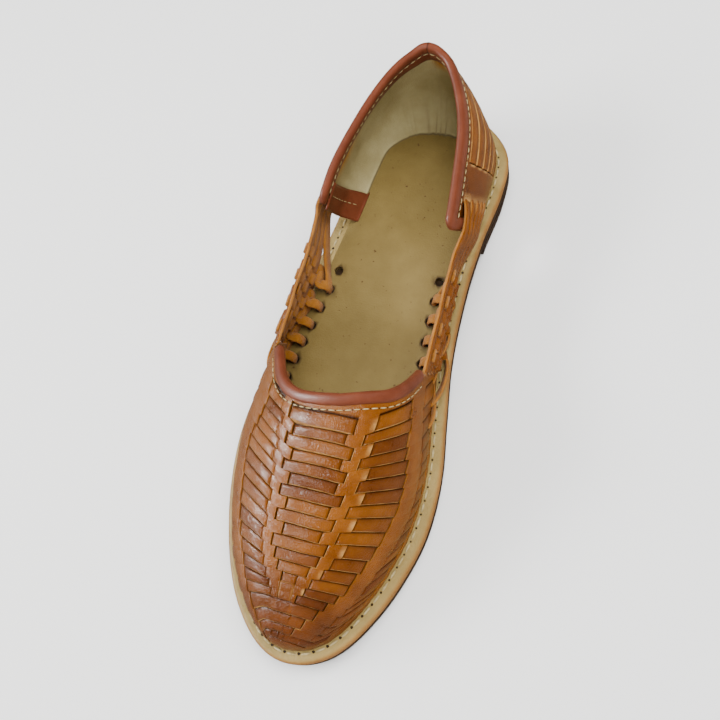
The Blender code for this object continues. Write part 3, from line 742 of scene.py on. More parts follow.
def vamp_section(along, side):
    """Half of the arch across the shoe at one place, with the run of its length."""
    key = (round(along, 5), side)
    if key not in SECTIONS:
        y = y_of(along)
        foot_z = upper_foot(along)
        ridge_x = CENTRE + BALL_WIDTH * ridge_value("across", along, (TOE_X - CENTRE) / BALL_WIDTH)
        ridge_z = INSTEP_HEIGHT * ridge_value("height", along, upper_foot(along_of(TOE_Y)) / INSTEP_HEIGHT)
        power = ridge_value("medial_power" if side == MEDIAL else "lateral_power", along, 2.0)
        foot_x = float(np.interp(y, *FOOT_LINES[side]))
        swing = np.linspace(0, math.pi / 2, 41)
        x = ridge_x + (foot_x - ridge_x) * np.sin(swing) ** (2 / power)
        z = foot_z + (ridge_z - foot_z) * np.cos(swing) ** (2 / power)
        runs = np.concatenate(([0.0], np.cumsum(np.hypot(np.diff(x), np.diff(z)))))
        SECTIONS[key] = (x, z, runs)
    return SECTIONS[key]


def vamp_point(along, turn):
    """A point of the vamp's outer face: turn is -1 at the lateral foot, 0 on the ridge, 1 at the medial."""
    along = round(min(along, along_of(TOE_Y)), 5)
    x, z, runs = vamp_section(along, MEDIAL if turn > 0 else LATERAL)
    at = abs(turn) * runs[-1]
    return Vector((float(np.interp(at, runs, x)), y_of(along), float(np.interp(at, runs, z))))


def rear_along(turn):
    shares = [row.medial if turn > 0 else row.lateral for row in REAR]
    return smooth([row.turn for row in REAR], shares, abs(turn))


# Each cross strip: where it starts on the ridge, and the turns at which its bars dive and come up
Strip = namedtuple("Strip", "along outer_in outer_out left_in left_out middle_in middle_out "
                            "right_in right_out low_in")
STRIPS = (
    Strip(0.671, -0.66, -0.475, -0.31, -0.26, 0.12, 0.22, 0.46, 0.66, 0.95),
    Strip(0.693, -0.66, -0.460, -0.28, -0.21, 0.09, 0.18, 0.49, 0.66, 0.95),
    Strip(0.708, -0.68, -0.480, -0.30, -0.24, 0.15, 0.24, 0.48, 0.69, 0.95),
    Strip(0.726, -0.70, -0.500, -0.27, -0.18, 0.11, 0.20, 0.51, 0.70, 0.95),
    Strip(0.741, -0.72, -0.530, -0.285, -0.22, 0.16, 0.27, 0.55, 0.74, 0.95),
    Strip(0.757, -0.74, -0.550, -0.255, -0.16, 0.13, 0.24, 0.57, 0.77, 0.95),
    Strip(0.773, -0.74, -0.550, -0.265, -0.20, 0.19, 0.30, 0.59, 0.79, 0.95),
    Strip(0.789, -0.73, -0.540, -0.24, -0.14, 0.14, 0.24, 0.60, 0.80, 0.95),
    Strip(0.805, -0.72, -0.530, -0.255, -0.19, 0.20, 0.32, 0.59, 0.80, 0.95),
    Strip(0.822, -0.72, -0.530, -0.235, -0.12, 0.15, 0.25, 0.59, 0.79, 0.95),
    Strip(0.838, -0.71, -0.520, -0.255, -0.18, 0.22, 0.34, 0.58, 0.78, 0.95),
    Strip(0.855, -0.69, -0.500, -0.235, -0.14, 0.20, 0.29, 0.56, 0.75, 0.94),
    Strip(0.870, -0.66, -0.470, -0.21, -0.10, 0.16, 0.26, 0.53, 0.72, 0.94),
    Strip(0.884, -0.64, -0.450, -0.18, -0.05, 0.09, 0.20, 0.53, 0.70, 0.93),
    Strip(0.897, -0.62, -0.440, -0.14, -0.05, 0.09, 0.18, 0.49, 0.68, 0.93),
    Strip(0.908, -0.60, -0.430, -0.11, -0.05, 0.09, 0.13, 0.43, 0.65, 0.92),
    Strip(0.919, -0.58, -0.400, -0.10, -0.05, 0.09, 0.13, 0.39, 0.61, 0.90),
    Strip(0.936, -0.58, -0.380, -0.10, -0.05, 0.09, 0.13, 0.32, 0.58, 0.88),
    Strip(0.951, -0.55, -0.350, -0.10, -0.05, 0.09, 0.11, 0.25, 0.55, 0.85),
    Strip(0.962, -0.50, -0.280, -0.10, -0.05, 0.04, 0.08, 0.14, 0.45, 0.80),
)
STRIPS_END = 0.971
PATCH_FIRST = 14
TOE_FIRST = 16
RAW_START = (0.14, 0.34)
SLIVER = 0.006
TOE_PLAIN = 0.6
LOW_END = -0.95
GROOVE = 0.0011
DIVE = 0.0014
DIVE_RUN = 0.024
STEP_RUN = 0.0011
LATERAL_LEAN = 0.167
MEDIAL_LEAN = 0.19
LOW_LEAN = 0.17


def strip_along(level, turn):
    """Place along the shoe of a cross strip's edge, which leans back towards its outer ends."""
    knots = [strip.along for strip in STRIPS] + [STRIPS_END]
    if level < 0:
        middle = knots[0] + (rear_along(0) - knots[0]) * -level
    else:
        middle = float(np.interp(level, range(len(knots)), knots))
    reach = abs(turn)
    if turn < 0:
        lean = LATERAL_LEAN * (1 - (min(level, 17.0) / 15.3) ** 2) if level > 0 else LATERAL_LEAN
        start, low = 0.2, 0.72
        under = -lean * max(min(reach, low) - start, 0.0) + LOW_LEAN * 0.5 * max(reach - low, 0.0)
        if level < 6:
            under -= LOW_LEAN * 1.1 * max(reach - low, 0.0) * (1 - max(level, 0) / 6)
    else:
        lean = MEDIAL_LEAN * max(1 - max(level, 0) / 16, 0.0) ** 1.3
        start, low = 0.15, 0.68
        under = -lean * max(min(reach, low) - start, 0.0) - LOW_LEAN * max(reach - low, 0.0)
    along = middle + under
    if level <= 0:
        along = rear_along(turn) + (along - rear_along(turn)) * (1 + level)
    elif level < 3:
        along = max(along, rear_along(turn) + 0.012 + 0.012 * level)
    return along


def strip_columns(level):
    """Turns of the weave's columns at one strip, each with its kind and the panel it belongs to."""
    strip = STRIPS[min(max(int(level), 0), len(STRIPS) - 1)]
    edges = [(LOW_END, strip.outer_in), (strip.outer_out, strip.left_in), (strip.left_out, strip.middle_in),
             (strip.middle_out, strip.right_in), (strip.right_out, strip.low_in)]
    columns = [(-1.0, 0.0, None)]
    for number, (start, end) in enumerate(edges):
        if number:
            last = columns[-1][0]
            columns += [(last + (start - STEP_RUN * 4 - last) * k / 3, 0.0, None) for k in (1, 2)]
        width = end - start
        dive = min(DIVE_RUN, width * 0.3)
        columns += [(start - STEP_RUN * 4, 0.0, None), (start - STEP_RUN / 2, 0.12, None)]
        columns += [(start + STEP_RUN / 2, 1.0, number), (start + dive * 0.25, 0.55, number)]
        columns += [(start + dive * 0.6, 0.18, number), (start + dive, 0.03, number)]
        columns += [(start + dive + (width - 2 * dive) * k / 3, 0.0, number) for k in (1, 2)]
        columns += [(end - dive, 0.03, number), (end - dive * 0.6, 0.18, number)]
        columns += [(end - dive * 0.25, 0.55, number), (end - STEP_RUN / 2, 1.0, number)]
        columns += [(end + STEP_RUN / 2, 0.12, None), (end + STEP_RUN * 4, 0.0, None)]
    columns.append((1.0, 0.0, None))
    return columns


# Across a strip, from its heel edge to its toe edge: how deep it lies, its painted crease shade and its raw
# cut edge
Step = namedtuple("Step", "share sink crease raw")
BAR_PROFILE = (
    Step(0.000, 1.00, 1.0, 0.0),
    Step(0.040, 0.45, 0.6, 0.0),
    Step(0.110, 0.15, 0.25, 0.0),
    Step(0.280, 0.02, 0.07, 0.0),
    Step(0.500, 0.00, 0.0, 0.0),
    Step(0.720, 0.02, 0.0, 0.0),
    Step(0.870, 0.10, 0.22, 0.0),
    Step(0.930, 0.22, 0.0, 0.9),
    Step(0.970, 0.60, 0.0, 1.0),
)
FLAT_STEP = Step(0.0, None, 0.0, 0.0)
END_STEP = Step(0.0, 1.0, 1.0, 0.0)


def shell_piece(name, outer, inner, marks, materials, replaced):
    """A wall between two grids of points. The inner face and the rims take the second material."""
    rows, count = len(outer), len(outer[0])
    verts = [point for row in outer for point in row] + [point for row in inner for point in row]
    base = rows * count
    faces = []
    for i in range(rows - 1):
        for j in range(count - 1):
            quad = (i * count + j, i * count + j + 1, (i + 1) * count + j + 1, (i + 1) * count + j)
            faces.append(quad)
            faces.append(tuple(base + k for k in reversed(quad)))
    for i in range(rows - 1):
        for j in (0, count - 1):
            a, b = i * count + j, (i + 1) * count + j
            faces.append((a, b, base + b, base + a) if j == 0 else (b, a, base + a, base + b))
    for j in range(count - 1):
        for i in (0, rows - 1):
            a, b = i * count + j, i * count + j + 1
            faces.append((b, a, base + a, base + b) if i == 0 else (a, b, base + b, base + a))
    doubled = {mark: values + values for mark, values in marks.items()}
    piece = new_piece(name, verts, faces, materials[0], doubled, replaced)
    piece.data.materials.append(materials[1])
    for polygon in piece.data.polygons:
        if any(vert >= base for vert in polygon.vertices):
            polygon.material_index = 1
    tidy_mesh(piece, 50)
    return piece


def woven_material():
    material, tree, shader, grain = start_material(
        "caramel_woven_leather", 0.34, 1100.0, 75.0, 0.00016, 0.12, 0.35)
    warm = dyed(tree, grain, (0.135, 0.034, 0.0008), (0.270, 0.083, 0.0025))
    tone = mark_value(tree, "tone")
    dark = dyed(tree, grain, (0.070, 0.015, 0.0006), (0.150, 0.038, 0.0012))
    colour = blend(tree, tone, warm, dark)
    toe = dyed(tree, grain, (0.040, 0.009, 0.0015), (0.120, 0.026, 0.0025))
    colour = blend(tree, mark_value(tree, "burnish"), colour, toe)
    # Painted shade: the grooves between the bars, and the ends where bars dive under the bands, go nearly
    # black.
    colour = blend(tree, mark_value(tree, "crease"), colour, (0.012, 0.003, 0.001))
    place = tree.nodes.new("ShaderNodeTexCoord").outputs["Object"]
    patches = node(tree, "ShaderNodeTexNoise", Scale=170.0, Detail=3.0)
    tree.links.new(place, patches.inputs["Vector"])
    raw = math_node(tree, "MULTIPLY", mark_value(tree, "raw"), ramp(
        tree, patches.outputs["Fac"], ((0.35, (0.25, 0.25, 0.25)), (0.6, (1, 1, 1)))))
    colour = blend(tree, raw, colour, (0.50, 0.26, 0.075))
    tree.links.new(colour, shader.inputs["Base Color"])
    rough = math_node(tree, "ADD", math_node(tree, "MULTIPLY", grain.outputs["Mottle"], 0.24), 0.19)
    tree.links.new(rough, shader.inputs["Roughness"])
    return material


def suede_material():
    material, tree, shader, grain = start_material("tan_suede_reverse", 0.85, 1500.0, 110.0, 0.00025)
    colour = dyed(tree, grain, (0.240, 0.084, 0.007), (0.430, 0.170, 0.022))
    tree.links.new(colour, shader.inputs["Base Color"])
    shader.inputs["Sheen Weight"].default_value = 0.15
    return material


woven_leather = woven_material()
tan_suede = suede_material()


def strip_step(number, panel, turn, end_sink):
    """Whether a point is on a bar, and how far it sinks at its end, at one strip of the weave."""
    if number < PATCH_FIRST:
        return panel is not None, end_sink
    if number < TOE_FIRST:
        return panel is not None and panel != 2, end_sink
    if -0.30 < turn < 0.20 or (number > TOE_FIRST + 2 and abs(turn) < TOE_PLAIN):
        return True, 0.0
    return panel is not None, end_sink


def make_vamp():
    random.seed(4)
    rows = [(level, FLAT_STEP) for level in (-1.0, -0.96, -0.7, -0.4, -0.15)]
    rows += [(strip + step.share, step) for strip in range(len(STRIPS)) for step in BAR_PROFILE]
    rows.append((len(STRIPS), END_STEP))
    rows += [(len(STRIPS) + share, FLAT_STEP) for share in (0.08, 0.3, 0.6, 0.85, 1.0)]
    tones = [[random.uniform(0.0, 1.0) for panel in range(6)] for strip in STRIPS]
    slants = [[(random.uniform(-0.0008, 0.0004), random.uniform(-0.0001, 0.00030)) for panel in range(6)]
              for strip in STRIPS]
    places, depths = [], []
    creases, raws, tone_marks, burnish = [], [], [], []
    for level, step in rows:
        number = min(max(int(level), 0), len(STRIPS) - 1)
        place_row, depth_row = [], []
        for turn, end_sink, panel in strip_columns(number):
            along = strip_along(min(level, len(STRIPS)), turn)
            if level > len(STRIPS):
                along += (along_of(TOE_Y) - along) * (level - len(STRIPS))
            bar, end_sink = strip_step(number, panel, turn, end_sink)
            depth = crease = raw = 0.0
            tone = 0.15
            if bar and step.sink is not None:
                slant, rise = slants[number][panel if panel is not None else 5]
                rest = slant * (level - int(level) - 0.5) + rise
                depth = max(step.sink * GROOVE, end_sink * DIVE) + rest * (1 - end_sink) * (1 - step.sink)
                # Painted shade in the grooves and where the bars dive under the bands.
                crease = max(step.crease, 1.0 if end_sink == 1.0 else 0.4 * (end_sink > 0.5))
                raw = step.raw * (1 - end_sink)
                tone = tones[number][panel if panel is not None else 5]
            elif step.sink is not None:
                swell = math.sin(math.pi * (level - int(level)))
                depth = end_sink * 0.0006 - 0.00022 * swell + 0.0002
                sliver = STRIPS[number].middle_out
                if end_sink > 0.1:
                    raw = 1.0 if RAW_START[0] < turn < RAW_START[1] else 0.25
                if number % 2 == 0 and sliver - SLIVER < turn < sliver:
                    raw = swell
            place_row.append((along, turn))
            depth_row.append(depth)
            creases.append(crease)
            raws.append(raw)
            tone_marks.append(tone)
            toe = min(max((along - 0.84) / 0.12, 0.0), 1.0)
            burnish.append(0.75 * toe * toe * (3 - 2 * toe))
        places.append(place_row)
        depths.append(depth_row)
    outer, inner = [], []
    for place_row, depth_row in zip(places, depths):
        skin = [(vamp_point(along, turn), vamp_normal(along, turn)) for along, turn in place_row]
        outer.append([point - normal * depth for (point, normal), depth in zip(skin, depth_row)])
        inner.append([point - normal * (WALL + 0.25 * depth)
                      for (point, normal), depth in zip(skin, depth_row)])
    marks = {"crease": creases, "raw": raws, "tone": tone_marks, "burnish": burnish}
    shell_piece("woven_vamp", outer, inner, marks, (woven_leather, tan_suede), ("vamp",))


def vamp_normal(along, turn):
    nudge_turn, nudge_along = 0.004, 0.002
    near = min(max(turn, -0.995), 0.995)
    if abs(near) < 0.006:
        near = 0.006
    at = min(along, along_of(TOE_Y) - 0.004)
    ahead = vamp_point(at + nudge_along, near) - vamp_point(at - nudge_along, near)
    aside = vamp_point(at, near + nudge_turn) - vamp_point(at, near - nudge_turn)
    return ahead.cross(aside).normalized()


make_vamp()

# The throat binding: a strip of brick red calf folded over the vamp's rear edge and sewn down in front
# of the fold with one row of cream stitches.
BINDING_WIDTH = 0.0054
BINDING_THICK = 0.0042
STITCH_PITCH = 0.0035
STITCH_RADIUS = 0.00028
THROAT_RADIUS = 0.00025
THROAT_SEAM = 0.0026


def brick_material():
    material, tree, shader, grain = start_material("brick_binding_leather", 0.42, 1300.0, 80.0, 0.00005, 0.1)
    colour = dyed(tree, grain, (0.095, 0.021, 0.008), (0.165, 0.042, 0.018))
    # Painted shade at the binding's join behind the heel.
    colour = blend(tree, mark_value(tree, "crease"), colour, (0.018, 0.005, 0.003))
    tree.links.new(colour, shader.inputs["Base Color"])
    return material


brick_leather = brick_material()


def round_section(count=22, power=2.5):
    """A rounded box from 0 to 1 in reach and -0.5 to 0.5 in thickness."""
    section = []
    for i in range(count):
        turn = 2 * math.pi * i / count
        reach = math.copysign(abs(math.cos(turn)) ** (2 / power), math.cos(turn))
        thick = math.copysign(abs(math.sin(turn)) ** (2 / power), math.sin(turn))
        section.append((0.5 + 0.5 * reach, 0.5 * thick))
    return section


def tube_faces(rows, count):
    faces = []
    for i in range(rows - 1):
        for j in range(count):
            k = (j + 1) % count
            faces.append((i * count + j, i * count + k, (i + 1) * count + k, (i + 1) * count + j))
    faces.append(tuple(reversed(range(count))))
    faces.append(tuple((rows - 1) * count + j for j in range(count)))
    return faces


def folded_edge(name, places, width, overlap, replaced, joins=()):
    """A binding folded over an edge: each place is a point of the outer face, its outward and its normal."""
    section = round_section()
    verts = []
    for point, outward, normal in places:
        centre = point - normal * WALL / 2
        verts += [centre + outward * (reach * (width + overlap) - overlap) + normal * thick * BINDING_THICK
                  for reach, thick in section]
    # The join behind the heel is darkened with painted shade.
    seam = [0.9 if i in joins else 0.0 for i in range(len(places)) for reach in section]
    piece = new_piece(name, verts, tube_faces(len(places), len(section)), brick_leather, {"crease": seam},
                      replaced)
    tidy_mesh(piece, 60)
    return piece


def stitch_row(name, places, pitch, radius, gap=0.14, holes=True):
    """A row of stitches along places of (point, normal), with awl holes, dark discs of painted shade, between
    them.
    """
    line = [point for point, normal in places]
    runs = np.cumsum([0.0] + [(b - a).length for a, b in zip(line, line[1:])])
    count = max(int(round(runs[-1] / pitch)), 1)
    ends = []
    for i in range(count + 1):
        at = runs[-1] * i / count
        point = Vector([float(np.interp(at, runs, [p[axis] for p in line])) for axis in range(3)])
        up = Vector([float(np.interp(at, runs, [n[axis] for p, n in places])) for axis in range(3)])
        ends.append((point, up.normalized()))
    thread_verts, thread_faces, hole_verts, hole_faces = [], [], [], []
    for (here, up), (there, next_up) in zip(ends, ends[1:]):
        stitch_mesh(thread_verts, thread_faces, here.lerp(there, gap), here.lerp(there, 1 - gap),
                    (up + next_up).normalized(), radius)
    new_piece(name + "_thread", thread_verts, thread_faces, cream_thread)
    if holes:
        for here, up in ends:
            disc_mesh(hole_verts, hole_faces, here, up, radius * 1.15)
        new_piece(name + "_holes", hole_verts, hole_faces, hole_shadow)


def throat_places(reach, count):
    """Places along the throat's edge: a point, the way out of the vamp, and the face's normal."""
    turns = [-reach + 2 * reach * i / count for i in range(count + 1)]
    points = [vamp_point(rear_along(turn), turn) for turn in turns]
    places = []
    for i, turn in enumerate(turns):
        normal = vamp_normal(rear_along(turn) + 0.004, turn)
        tangent = points[min(i + 1, count)] - points[max(i - 1, 0)]
        places.append((points[i], normal.cross(tangent).normalized(), normal))
    return places


throat_edge = throat_places(THROAT_CORNER - 0.012, 90)
folded_edge("throat_fold", throat_edge, BINDING_WIDTH * 0.8, 0.0010, ("throat_binding",))
throat_line = [(point - outward * THROAT_SEAM + normal * 0.0001, normal)
               for point, outward, normal in throat_edge]
stitch_row("throat_seam", throat_line, STITCH_PITCH, THROAT_RADIUS)

# The counter: caramel calf over a stiffener. Five strips run round the heel, dive under a plain keeper
# on each side, and come up again in front of it to leave the counter as the side straps.
COUNTER_REACH = 0.25
COLLAR_HEIGHT = 0.0755
COUNTER_FOOT = 0.003
HEEL_BULGE = 0.0064
SIDE_BULGE = 0.0036
STRIPS_LOW = 0.14
STRIPS_HIGH = 0.90
COUNTER_STRIPS = 5
REAR_SLIT = 0.76
FRONT_SLIT = 0.93
STRIP_DEPTH = 0.0012

Collar = namedtuple("Collar", "turn height lateral_along lateral medial_along medial")
COLLAR = (
    Collar(0.00, 1.000, 0.042, 0.000, 0.042, 0.000),
    Collar(0.05, 0.993, 0.0433, 0.030, 0.0433, 0.031),
    Collar(0.14, 0.967, 0.054, 0.078, 0.052, 0.082),
    Collar(0.28, 0.940, 0.078, 0.142, 0.075, 0.135),
    Collar(0.45, 0.905, 0.125, 0.210, 0.125, 0.200),
    Collar(0.62, 0.865, 0.185, 0.268, 0.180, 0.243),
    Collar(0.80, 0.800, 0.250, 0.325, 0.255, 0.266),
    Collar(1.00, 0.735, 0.320, 0.348, 0.338, 0.284),
)


def counter_point(turn, rise):
    """A point of the counter's outer face: turn is -1 at the lateral front, 0 behind, 1 at the medial."""
    side = MEDIAL if turn > 0 else LATERAL
    reach = abs(turn)
    angle = side * max(reach, 1e-6) * angle_of(COUNTER_REACH)
    foot_x, foot_y = foot_edge(angle)
    foot = Vector((foot_x, foot_y, upper_foot(along_of(foot_y))))
    turns = [row.turn for row in COLLAR]
    across = smooth(turns, [row.medial if side == MEDIAL else row.lateral for row in COLLAR], reach)
    alongs = [row.medial_along if side == MEDIAL else row.lateral_along for row in COLLAR]
    along = smooth(turns, alongs, reach)
    height = smooth(turns, [row.height for row in COLLAR], reach)
    top = Vector((CENTRE + side * BALL_WIDTH * across, y_of(along), COLLAR_HEIGHT * height))
    edge_x, edge_y = sole_edge(angle)
    outward = Vector((edge_x - foot_x, edge_y - foot_y, 0)).normalized()
    bulge = SIDE_BULGE + (HEEL_BULGE - SIDE_BULGE) * max(1 - reach / 0.6, 0.0)
    return foot.lerp(top, rise) + outward * bulge * 4 * rise * (1 - rise) * (1.25 - 0.5 * rise)


def counter_grid(turn, rise):
    """A point of the counter inside its binding."""
    side = 1 if turn > 0 else -1
    nudge = 0.01
    front_run = (counter_point(side, rise) - counter_point(side * (1 - nudge), rise)).length / nudge
    top_run = (counter_point(turn, 1) - counter_point(turn, 1 - nudge)).length / nudge
    return counter_point(turn * (1 - BINDING_WIDTH / front_run), rise * (1 - BINDING_WIDTH / top_run))


def counter_normal(turn, rise):
    nudge = 0.004
    if abs(turn) < 0.008:
        turn = 0.008
    turn = min(max(turn, -0.985), 0.985)
    rise = min(max(rise, 0.01), 0.98)
    along_turn = counter_grid(turn + nudge, rise) - counter_grid(turn - nudge, rise)
    along_rise = counter_grid(turn, rise + nudge) - counter_grid(turn, rise - nudge)
    return along_rise.cross(along_turn).normalized()


def counter_wall(turn, rise):
    """The outer point, the way inwards and the wall's thickness there."""
    foot = max(1 - rise / 0.4, 0.0) ** 2
    normal = counter_normal(turn, rise)
    level = Vector((normal.x, normal.y, 0)).normalized()
    inward = -level.lerp(normal, 1 - foot).normalized()
    return counter_grid(turn, rise), inward, WALL + (COUNTER_FOOT - WALL) * foot


def make_counter():
    half = [0.0, 0.04, 0.08, 0.13, 0.19, 0.25, 0.31, 0.37, 0.43, 0.49, 0.55, 0.61, 0.67, 0.72]
    half += [REAR_SLIT + step for step in (-0.012, -0.004, 0.0, 0.004, 0.016)]
    half += [0.80, 0.84, 0.88] + [FRONT_SLIT + step for step in (-0.010, -0.004, 0.0, 0.02)] + [1.0]
    turns = [-turn for turn in reversed(half[1:])] + half
    pitch = (STRIPS_HIGH - STRIPS_LOW) / COUNTER_STRIPS
    rows = [(rise, FLAT_STEP) for rise in (0.0, 0.03, 0.07, 0.12)]
    for strip in range(COUNTER_STRIPS):
        rows += [(STRIPS_LOW + pitch * (strip + step.share), step) for step in BAR_PROFILE]
    rows += [(STRIPS_HIGH, END_STEP), (STRIPS_HIGH + 0.012, FLAT_STEP), (0.96, FLAT_STEP), (1.0, FLAT_STEP)]
    outer, inner, creases, raws, tones = [], [], [], [], []
    for rise, step in rows:
        outer_row, inner_row = [], []
        for turn in turns:
            reach = abs(turn)
            point, inward, wall = counter_wall(turn, rise)
            depth = crease = raw = 0.0
            tone = 0.9
            on_strips = step.sink is not None
            # Painted shade in the strips' grooves and in the slits.
            if on_strips and reach < REAR_SLIT - 0.001:
                depth, crease, raw = step.sink * STRIP_DEPTH, step.crease, step.raw * 0.8
                tone = 0.2 + 0.5 * ((rise * 7.3) % 1)
            if on_strips and abs(reach - REAR_SLIT) < 0.001:
                depth, crease = 0.0012, 1.0
            if on_strips and abs(reach - REAR_SLIT - 0.004) < 0.001:
                raw = 0.9 if step.sink < 0.1 else 0.2
            if on_strips and abs(reach - FRONT_SLIT + 0.010) < 0.001:
                raw = 0.8
            if on_strips and reach > FRONT_SLIT - 0.005:
                depth = 0.0009
                crease = 1.0 if reach < FRONT_SLIT + 0.001 else 0.4
            outer_row.append(point + inward * depth)
            inner_row.append(point + inward * wall)
            creases.append(crease)
            raws.append(raw)
            tones.append(tone)
        outer.append(outer_row)
        inner.append(inner_row)
    marks = {"crease": creases, "raw": raws, "tone": tones}
    shell_piece("counter_cover", outer, inner, marks, (woven_leather, tan_suede), ("counter",))


make_counter()

# The counter's lining: pale beige sheepskin, padded at its foot where it turns over the insole, wrinkled
# low down behind the heel, and faced with brick leather along each front edge.
LINING_GAP = 0.00025
LINING_PAD = 0.0075
WRINKLE_DEPTH = 0.0003


def wrinkle_wave(turn, rise):
    """The uneven run of the upright wrinkles behind the heel."""
    return math.sin(95 * turn + 3 * math.sin(23 * turn) + 5 * rise)


def lining_point(turn, rise, lift_off=0.0):
    point, inward, wall = counter_wall(turn, rise)
    reach = abs(turn)
    low = max(1 - rise / 0.42, 0.0)
    pad = LINING_PAD * (1 - 0.62 * reach ** 2) * low ** 1.7
    back = max(1 - reach / 0.62, 0.0)
    wrinkle = WRINKLE_DEPTH * back * min(low * 3, 1.0) * wrinkle_wave(turn, rise)
    ripple = 0.00018 * max(1 - abs(rise - 0.45) / 0.4, 0.0) * math.sin(17 * turn + 11 * rise)
    return point + inward * (wall + LINING_GAP + pad + wrinkle + ripple + lift_off)


def facing_point(turn, rise, lift_off):
    """The lining's surface, carried on past the counter's front edge."""
    reach = abs(turn)
    if reach <= 1:
        return lining_point(turn, rise, lift_off)
    side = math.copysign(1.0, turn)
    edge = lining_point(side, rise, lift_off)
    return edge + (edge - lining_point(side * 0.97, rise, lift_off)) / 0.03 * (reach - 1)


def lining_crease(turn, rise):
    """Painted shade: a dark foot line where the lining meets the insole, and dark folds along the fine
    upright wrinkles low behind the heel.
    """
    if rise < 0.012:
        return 0.75
    fold = max(wrinkle_wave(turn, rise), 0.0) ** 6
    return 0.55 * fold * max(1 - abs(turn - 0.03) / 0.42, 0.0) * max(1 - rise / 0.36, 0.0)


def lining_stain(turn, rise):
    """Orange dye that has bled below the collar, at the back join and on the lateral side."""
    join = math.exp(-((turn - 0.06) / 0.06) ** 2 - ((rise - 0.84) / 0.09) ** 2)
    side = math.exp(-((turn + 0.80) / 0.10) ** 2 - ((rise - 0.82) / 0.12) ** 2)
    return min(join + 0.9 * side, 1.0)


def lining_material():
    material, tree, shader, grain = start_material("pale_lining_leather", 0.62, 800.0, 35.0, 0.00010)
    colour = dyed(tree, grain, (0.250, 0.200, 0.080), (0.450, 0.390, 0.205))
    colour = blend(tree, mark_value(tree, "stain"), colour, (0.42, 0.17, 0.018))
    # Painted shade at the lining's foot and along its wrinkles.
    colour = blend(tree, mark_value(tree, "crease"), colour, (0.045, 0.026, 0.010))
    tree.links.new(colour, shader.inputs["Base Color"])
    return material


lining_leather = lining_material()


def lining_sheet(name, turns, rises, lift_off, material, marked=False):
    verts, creases, stains, faces = [], [], [], []
    for rise in rises:
        for turn in turns:
            point = facing_point(turn, rise, lift_off)
            floor_height = insole_top(along_of(point.y)) + 0.00015
            verts.append(Vector((point.x, point.y, max(point.z, floor_height))))
            creases.append(lining_crease(turn, rise) if marked else 0.0)
            stains.append(lining_stain(turn, rise) if marked else 0.0)
    count = len(turns)
    for i in range(len(rises) - 1):
        for j in range(count - 1):
            faces.append((i * count + j, (i + 1) * count + j, (i + 1) * count + j + 1, i * count + j + 1))
    piece = new_piece(name, verts, faces, material, {"crease": creases, "stain": stains})
    skin = piece.modifiers.new("skin", "SOLIDIFY")
    skin.thickness = 0.0006
    skin.offset = 1
    done = bpy.data.meshes.new_from_object(piece.evaluated_get(bpy.context.evaluated_depsgraph_get()))
    piece.modifiers.clear()
    piece.data = done
    return piece


def spread(start, end, count):
    return [start + (end - start) * i / count for i in range(count + 1)]


FACING_START = 0.935
FACING_LIFT = 0.0008
FLAP_LIFT = 0.0007
LINING_RISES = (0.0, 0.01, 0.03, 0.05, 0.075, 0.10, 0.13, 0.16, 0.20, 0.25, 0.30, 0.36, 0.42, 0.50, 0.60,
                0.70, 0.80, 0.85, 0.90, 0.985)
FLAP_RISES = (0.895, 0.91, 0.94, 0.97, 1.0)
lining_turns = spread(-0.995, 0.995, 190)
lining_sheet("heel_lining", lining_turns, LINING_RISES, 0.0, lining_leather, True)
for facing_side, end, facing_name in ((LATERAL, 1.075, "lateral_facing"), (MEDIAL, 1.0, "medial_facing")):
    facing_turns = spread(facing_side * FACING_START, facing_side * end, 10)
    lining_sheet(facing_name, facing_turns, LINING_RISES, FACING_LIFT, brick_leather)
lining_sheet("collar_flap", spread(-0.99, 0.99, 130), FLAP_RISES, FLAP_LIFT, brick_leather)

# The collar binding: the same brick calf, folded over the counter's front and top edges in one length
# with its join behind the heel, and sewn through with cream thread.
BINDING_LIFT = 0.04
BACK_JOIN = 105
TOP_PLACES = slice(30, 181)
OUTSIDE_SEAM = 0.0021
INSIDE_SEAM = 0.0008
INSIDE_FACE = 0.0031
FACING_SEAM = 0.0015
FACING_RADIUS = 0.00022


def collar_places():
    nudge = 0.01
    places = []

    def add(turn, rise, outward):
        normal = counter_normal(turn, rise)
        flat = outward - normal * outward.dot(normal)
        places.append((counter_grid(turn, rise), flat.normalized(), normal))

    def front(side, rise):
        return (counter_grid(side, rise) - counter_grid(side * (1 - nudge), rise)).normalized()

    def upward(turn):
        return (counter_grid(turn, 1) - counter_grid(turn, 1 - nudge)).normalized()

    rises = spread(BINDING_LIFT, 1.0, 22)
    for rise in rises:
        add(LATERAL, rise, front(LATERAL, rise))
    for step in range(1, 8):
        add(LATERAL, 1.0, front(LATERAL, 1.0).slerp(upward(LATERAL), step / 8))
    for turn in spread(-1.0, 1.0, 150):
        add(turn, 1.0, upward(turn))
    for step in range(7, 0, -1):
        add(MEDIAL, 1.0, front(MEDIAL, 1.0).slerp(upward(MEDIAL), step / 8))
    for rise in reversed(rises):
        add(MEDIAL, rise, front(MEDIAL, rise))
    return places


collar_edge = collar_places()
folded_edge("collar_fold", collar_edge, BINDING_WIDTH, 0.0012, ("collar_binding",), (BACK_JOIN,))
outside_line, inside_line = [], []
for collar_point, collar_outward, collar_normal in collar_edge[TOP_PLACES]:
    outside_line.append((collar_point - collar_outward * OUTSIDE_SEAM + collar_normal * 0.0002,
                         collar_normal))
    inside_line.append((collar_point + collar_outward * INSIDE_SEAM - collar_normal * INSIDE_FACE,
                        -collar_normal))
facing_line = [(facing_point(-1.0, rise, FACING_SEAM), -counter_normal(-0.98, rise))
               for rise in spread(0.88, 0.12, 30)]
stitch_row("collar_seam_outside", outside_line, STITCH_PITCH, STITCH_RADIUS)
stitch_row("collar_seam_inside", inside_line, STITCH_PITCH, STITCH_RADIUS, holes=False)
stitch_row("facing_seam", facing_line, STITCH_PITCH, FACING_RADIUS, holes=False)

